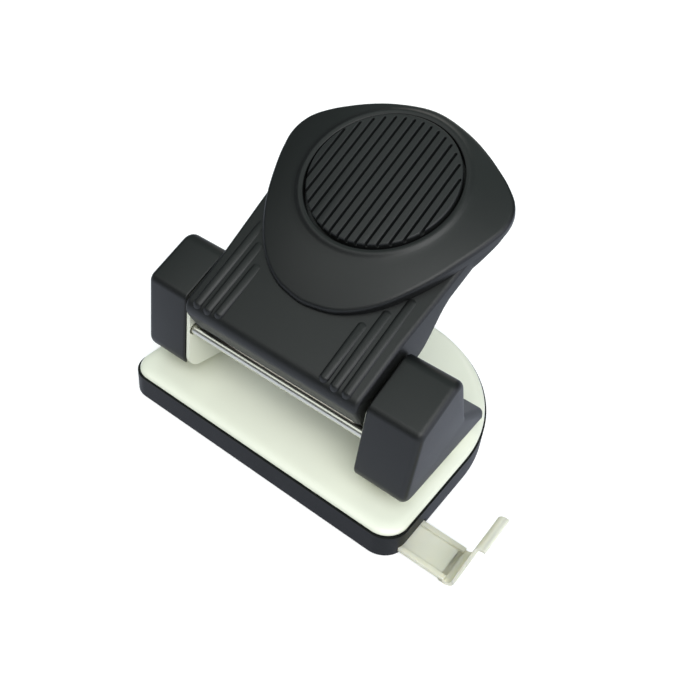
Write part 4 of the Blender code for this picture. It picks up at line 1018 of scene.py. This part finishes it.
def disc_shape(sizes):
    """The grip disc: its grooves run out at the front and end rounded at the back."""
    shape = bmesh.new()
    bmesh.ops.create_circle(shape, cap_ends=True, segments=180, radius=sizes.disc)
    shape.faces.ensure_lookup_table()
    low = sizes.palm_top - DISC_DEPTH * MM
    high = sizes.palm_top + sizes.disc_rise
    centre = (PALM_CENTRE + DISC_BACK) * MM
    bmesh.ops.translate(shape, verts=shape.verts, vec=(0.0, centre, low))
    top, _ = raise_face(shape, shape.faces[0], high - low)
    rim = list(top.edges)
    face_outwards(shape)
    bevel(shape, rim, DISC_EDGE * MM, 4)
    grooves = []
    for index in range(GROOVE_COUNT):
        x = (index - (GROOVE_COUNT - 1) / 2) * GROOVE_PITCH * MM
        half_chord = math.sqrt(sizes.disc**2 - x * x)
        front = centre - half_chord - GROOVE_RUNOUT * MM
        back = centre + half_chord - GROOVE_END * MM
        grooves.append(groove_cutter(sizes, x, front, back, high))
    return carved(shape, cuts=[joined(*grooves)])


def gauge_shape():
    """A strip with a rail along each edge, and an end tab that leans out and curls over."""
    front, back = GAUGE_LOW.y, GAUGE_HIGH.y
    low, high = millimetres(GAUGE_SHEET)
    step_in_by, step_up = millimetres(GAUGE_STEP)
    rail, rail_top = millimetres(GAUGE_RAIL)
    half = (
        (front + step_in_by, low),
        (front + step_in_by, step_up),
        (front, step_up),
        (front, rail_top),
        (front + rail, rail_top),
        (front + rail, high),
    )
    outline = list(half) + [(front + back - y, z) for y, z in reversed(half)]
    strip = bmesh.new()
    face = strip.faces.new([strip.verts.new((GAUGE_LOW.x, y, z)) for y, z in outline])
    draw_out(strip, face, (GAUGE_BEND * MM - GAUGE_LOW.x, 0.0, 0.0))
    face_outwards(strip)
    tab = bmesh.new()
    start = (GAUGE_BEND - GAUGE_OVERLAP) * MM
    corners = ((front, low), (back, low), (back, high), (front, high))
    section = tab.faces.new([tab.verts.new((start, y, z)) for y, z in corners])

    def swing(face, centre, angle, steps):
        spun = bmesh.ops.spin(
            tab, geom=[face, *face.edges, *face.verts], cent=centre, axis=(0, 1, 0), angle=angle, steps=steps
        )
        return first_face(spun["geom_last"])

    end, _ = draw_out(tab, section, (GAUGE_OVERLAP * MM, 0.0, 0.0))
    bend = math.pi / 2 - GAUGE_LEAN
    middle = (low + high) / 2
    end = swing(end, (GAUGE_BEND * MM, 0.0, middle + GAUGE_BEND_ROUND * MM), -bend, 12)
    along = Vector((math.cos(bend), 0.0, math.sin(bend)))
    curl = GAUGE_CURL_ROUND * MM
    top = GAUGE_HIGH.z - 0.5 * MM
    foot = middle + GAUGE_BEND_ROUND * MM * (1 - math.cos(bend))
    length = (top - curl * (1 - math.cos(bend)) - foot) / along.z
    end, _ = draw_out(tab, end, along * length)
    spot = end.calc_center_median()
    centre = spot + Vector((math.sin(bend), 0.0, -math.cos(bend))) * curl
    end = swing(end, centre, bend, 10)
    lip = GAUGE_HIGH.x - GAUGE_SHY * MM - end.calc_center_median().x
    draw_out(tab, end, (lip, 0.0, 0.0))
    face_outwards(tab)
    return carved(strip, additions=[tab])


def lever_shape():
    """The lever plate as packed, with its ears cut back behind the handle's nose."""
    shape = bmesh.new()
    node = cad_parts["lever_plate"]
    shape.from_mesh(node.data)
    bmesh.ops.transform(shape, matrix=node.matrix_world, verts=shape.verts)
    bmesh.ops.remove_doubles(shape, verts=shape.verts, dist=1e-6)
    face_outwards(shape)
    front = box((-0.04, -8 * MM, -6 * MM), (0.04, LEVER_FRONT * MM, 6 * MM))
    bmesh.ops.transform(front, matrix=HANDLE_PLACE, verts=front.verts)
    return carved(shape, cuts=[front])


class HOLEPUNCH_OT_tray(bpy.types.Operator):
    """Builds the chip tray with its gauge channel"""

    bl_idname = "holepunch.tray"
    bl_label = "Build tray"

    def execute(self, context):
        sizes, colours = context.scene.punch_sizes, context.scene.punch_colours
        plastic = moulded_plastic("satin_black_plastic", colours.plastic, 0.45, 0.00003, 0.27)
        finish_piece("chip_tray", tray_shape(), "tray", plastic, ["base_tray"], sizes.tray_edge)
        return {"FINISHED"}


class HOLEPUNCH_OT_plate(bpy.types.Operator):
    """Builds the steel plate with its rolled edge"""

    bl_idname = "holepunch.plate"
    bl_label = "Build plate"

    def execute(self, context):
        sizes, colours = context.scene.punch_sizes, context.scene.punch_colours
        paint = enamel("cream_enamel", colours.paint)
        finish_piece("rolled_plate", plate_shape(sizes), "chassis", paint, ["base_plate"], 0.2 * MM)
        return {"FINISHED"}


class HOLEPUNCH_OT_brackets(bpy.types.Operator):
    """Builds the two punch brackets, bent from sheet"""

    bl_idname = "holepunch.brackets"
    bl_label = "Build brackets"

    def execute(self, context):
        paint = enamel("bracket_enamel", context.scene.punch_colours.paint)
        for name, side in SIDES:
            node = name + "_bracket"
            finish_piece(name + "_punch_frame", bracket_shape(side), "chassis", paint, [node], 0.3 * MM)
        return {"FINISHED"}


class HOLEPUNCH_OT_covers(bpy.types.Operator):
    """Builds the two side covers"""

    bl_idname = "holepunch.covers"
    bl_label = "Build covers"

    def execute(self, context):
        sizes, colours = context.scene.punch_sizes, context.scene.punch_colours
        plastic = moulded_plastic("cover_plastic", colours.plastic, 0.4, 0.00002)
        for name, side in SIDES:
            node = name + "_cover"
            finish_piece(
                name + "_side_cover", cover_shape(sizes, side), "chassis", plastic, [node], 0.25 * MM
            )
        return {"FINISHED"}


class HOLEPUNCH_OT_handle(bpy.types.Operator):
    """Builds the handle shell with its grip ribs"""

    bl_idname = "holepunch.handle"
    bl_label = "Build handle shell"

    def execute(self, context):
        sizes, colours = context.scene.punch_sizes, context.scene.punch_colours
        plastic = moulded_plastic("handle_plastic", colours.plastic, 0.42, 0.00002)
        finish_piece(
            "ribbed_shell",
            shell_shape(sizes),
            "handle",
            plastic,
            ["handle_shell"],
            0.2 * MM,
            HANDLE_PLACE,
        )
        return {"FINISHED"}


class HOLEPUNCH_OT_palm_rest(bpy.types.Operator):
    """Builds the palm rest and the ribbed disc set into it"""

    bl_idname = "holepunch.palm_rest"
    bl_label = "Build palm rest and grip disc"

    def execute(self, context):
        sizes, colours = context.scene.punch_sizes, context.scene.punch_colours
        plastic = moulded_plastic("palm_plastic", colours.plastic, 0.4, 0.00002)
        grip = moulded_plastic("grip_plastic_ribbed", colours.grip, 0.5, 0.00003)
        finish_piece(
            "domed_palm_rest", palm_shape(sizes), "handle", plastic, ["palm_rest"], 0.0, HANDLE_PLACE
        )
        finish_piece(
            "ribbed_disc", disc_shape(sizes), "handle", grip, ["grip_disc"], 0.0, HANDLE_PLACE
        )
        return {"FINISHED"}


class HOLEPUNCH_OT_gauge(bpy.types.Operator):
    """Builds the sliding paper gauge"""

    bl_idname = "holepunch.gauge"
    bl_label = "Build paper gauge"

    def execute(self, context):
        ivory = milky_plastic("ivory_plastic_moulded", context.scene.punch_colours.ivory)
        finish_piece("railed_gauge", gauge_shape(), "gauge", ivory, ["paper_gauge"], 0.2 * MM)
        return {"FINISHED"}


class HOLEPUNCH_OT_metalwork(bpy.types.Operator):
    """Builds the pivot shaft and finishes the small steel parts"""

    bl_idname = "holepunch.metalwork"
    bl_label = "Build shaft and finish steel parts"

    def execute(self, context):
        colours = context.scene.punch_colours
        # Polished steel whose warm tint is a painted reflection of the cream plate
        bright = turned_steel("polished_shaft_steel", colours.shaft, 0.2, (0.04, 1.0, 1.0))
        radius, end = SHAFT_HIGH.z - PIVOT.z, SHAFT_HIGH.x
        rounded = 0.3 * MM
        profile = ((radius - rounded, -end), (radius, rounded - end), (radius, end - rounded), (radius - rounded, end))
        finish_piece(
            "polished_shaft",
            turned(profile, "X", (0.0, PIVOT.y, PIVOT.z)),
            "chassis",
            bright,
            ["pivot_shaft"],
        )
        ground = turned_steel("ground_punch_steel", colours.steel, 0.2, (1.0, 1.0, 0.04))
        repaint(ground, "left_punch", "right_punch", "left_spring", "right_spring", "press_bar")
        zinc = plated_steel("zinc_plate", colours.zinc)
        repaint(zinc, "left_die_plate", "right_die_plate")
        black = blackened_steel("blackened_steel", colours.blackened)
        repaint(black, "left_bar_clip", "right_bar_clip")
        finish_piece("bent_lever", lever_shape(), "handle", black, ["lever_plate"], 0.2 * MM)
        for name, _ in SIDES:
            repaint(zinc, name + "_front_rivet", name + "_rear_rivet")
        repaint(zinc, "handle_screw_1", "handle_screw_2", "handle_screw_3")
        return {"FINISHED"}


class HOLEPUNCH_OT_stage(bpy.types.Operator):
    """Sets the floor, the surround, the lamps and the camera"""

    bl_idname = "holepunch.stage"
    bl_label = "Build studio"

    def execute(self, context):
        colours = context.scene.punch_colours
        shape = bmesh.new()
        bmesh.ops.create_grid(shape, x_segments=8, y_segments=8, size=3.0)
        bmesh.ops.translate(shape, verts=shape.verts, vec=(0.0, 0.0, -0.05 * MM))
        floor = plain_object("studio_floor", shape)
        paper = Finish("studio_paper")
        seen = paper.node("ShaderNodeLightPath", {}, {}, "Is Camera Ray")
        glossy = paper.node("ShaderNodeLightPath", {}, {}, "Is Glossy Ray")
        fibre = paper.noise(paper.place(), 300.0, 3.0, 0.6)
        # Painted reflection: for glossy rays only, the floor glows in the sheen colour, which lightens and tints the
        # reflections in the black plastic
        painted_reflection_glow = paper.shade(glossy, (0.0, 0.0, 0.0), colours.sheen)
        paper.feed(
            Base_Color=paper.shade(fibre, tint(colours.floor, 0.99), tint(colours.floor, 1.0)),
            Roughness=0.95,
            Specular_IOR_Level=0.0,
            Emission_Color=paper.shade(seen, painted_reflection_glow, (0.55, 0.55, 0.55)),
            Emission_Strength=1.0,
        )
        floor.data.materials.append(paper.material)
        self.light_world(context, colours)
        for name, place, size, colour in LAMPS:
            self.hang_lamp(context, name + "_lamp", place, size, getattr(colours, name + "_power"), colour)
        camera = bpy.data.objects.new("camera", bpy.data.cameras.new("camera"))
        camera.location = CAMERA_PLACE
        camera.rotation_euler = [math.radians(turn) for turn in CAMERA_TURN]
        camera.data.lens = CAMERA_LENS
        camera.data.sensor_width = 36.0
        camera.data.clip_start = 0.01
        camera.data.clip_end = 20.0
        camera.data.dof.use_dof = False
        context.scene.collection.objects.link(camera)
        context.scene.camera = camera
        context.scene.view_settings.view_transform = "Standard"
        return {"FINISHED"}

    def light_world(self, context, colours):
        """White where the camera looks; for everything else a soft light that dims towards the horizon."""
        world = bpy.data.worlds.new("studio")
        world.use_nodes = True
        world.node_tree.nodes.clear()
        work = NodeWork(world.node_tree)
        seen = work.node("ShaderNodeLightPath", {}, {}, "Is Camera Ray")
        through = work.node("ShaderNodeLightPath", {}, {}, "Is Transmission Ray")
        height = work.node("ShaderNodeSeparateXYZ", {}, {0: work.place()}, "Z")
        soft = work.shade(work.band(height, 0.35, 0.9), colours.horizon, colours.sky)
        colour = work.shade(seen.sum_with("MAXIMUM", seen, through), soft, (1.0, 1.0, 1.0))
        light = work.node("ShaderNodeBackground", {}, {"Color": colour, "Strength": 1.0})
        work.node("ShaderNodeOutputWorld", {}, {"Surface": light}, None)
        context.scene.world = world

    def hang_lamp(self, context, name, place, size, power, colour):
        """A square lamp that faces the punch."""
        lamp = bpy.data.lights.new(name, "AREA")
        lamp.shape = "SQUARE"
        lamp.size = size
        lamp.energy = power
        lamp.color = colour
        hung = bpy.data.objects.new(name, lamp)
        hung.location = place
        aim = LAMP_AIM - Vector(place)
        hung.rotation_euler = aim.to_track_quat("-Z", "Y").to_euler()
        context.scene.collection.objects.link(hung)


class HOLEPUNCH_PT_panel(bpy.types.Panel):
    """Lists the pieces in the order they are built"""

    bl_label = "Hole punch"
    bl_space_type = "VIEW_3D"
    bl_region_type = "UI"
    bl_category = "Hole punch"

    def draw(self, context):
        for step in STEPS:
            self.layout.operator(step.bl_idname)
        for group in (context.scene.punch_sizes, context.scene.punch_colours):
            column = self.layout.column(align=True)
            for name in group.__annotations__:
                column.prop(group, name)


STEPS = (
    HOLEPUNCH_OT_stage,
    HOLEPUNCH_OT_tray,
    HOLEPUNCH_OT_plate,
    HOLEPUNCH_OT_brackets,
    HOLEPUNCH_OT_covers,
    HOLEPUNCH_OT_handle,
    HOLEPUNCH_OT_palm_rest,
    HOLEPUNCH_OT_gauge,
    HOLEPUNCH_OT_metalwork,
)
CLASSES = (PunchSizes, PunchColours, *STEPS, HOLEPUNCH_PT_panel)


def register():
    for made in CLASSES:
        bpy.utils.register_class(made)
    bpy.types.Scene.punch_sizes = bpy.props.PointerProperty(type=PunchSizes)
    bpy.types.Scene.punch_colours = bpy.props.PointerProperty(type=PunchColours)


def unregister():
    del bpy.types.Scene.punch_colours
    del bpy.types.Scene.punch_sizes
    for made in reversed(CLASSES):
        bpy.utils.unregister_class(made)


def main():
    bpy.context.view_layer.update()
    register()
    for step in STEPS:
        group, name = step.bl_idname.split(".")
        getattr(getattr(bpy.ops, group), name)()


if __name__ == "__main__":
    main()
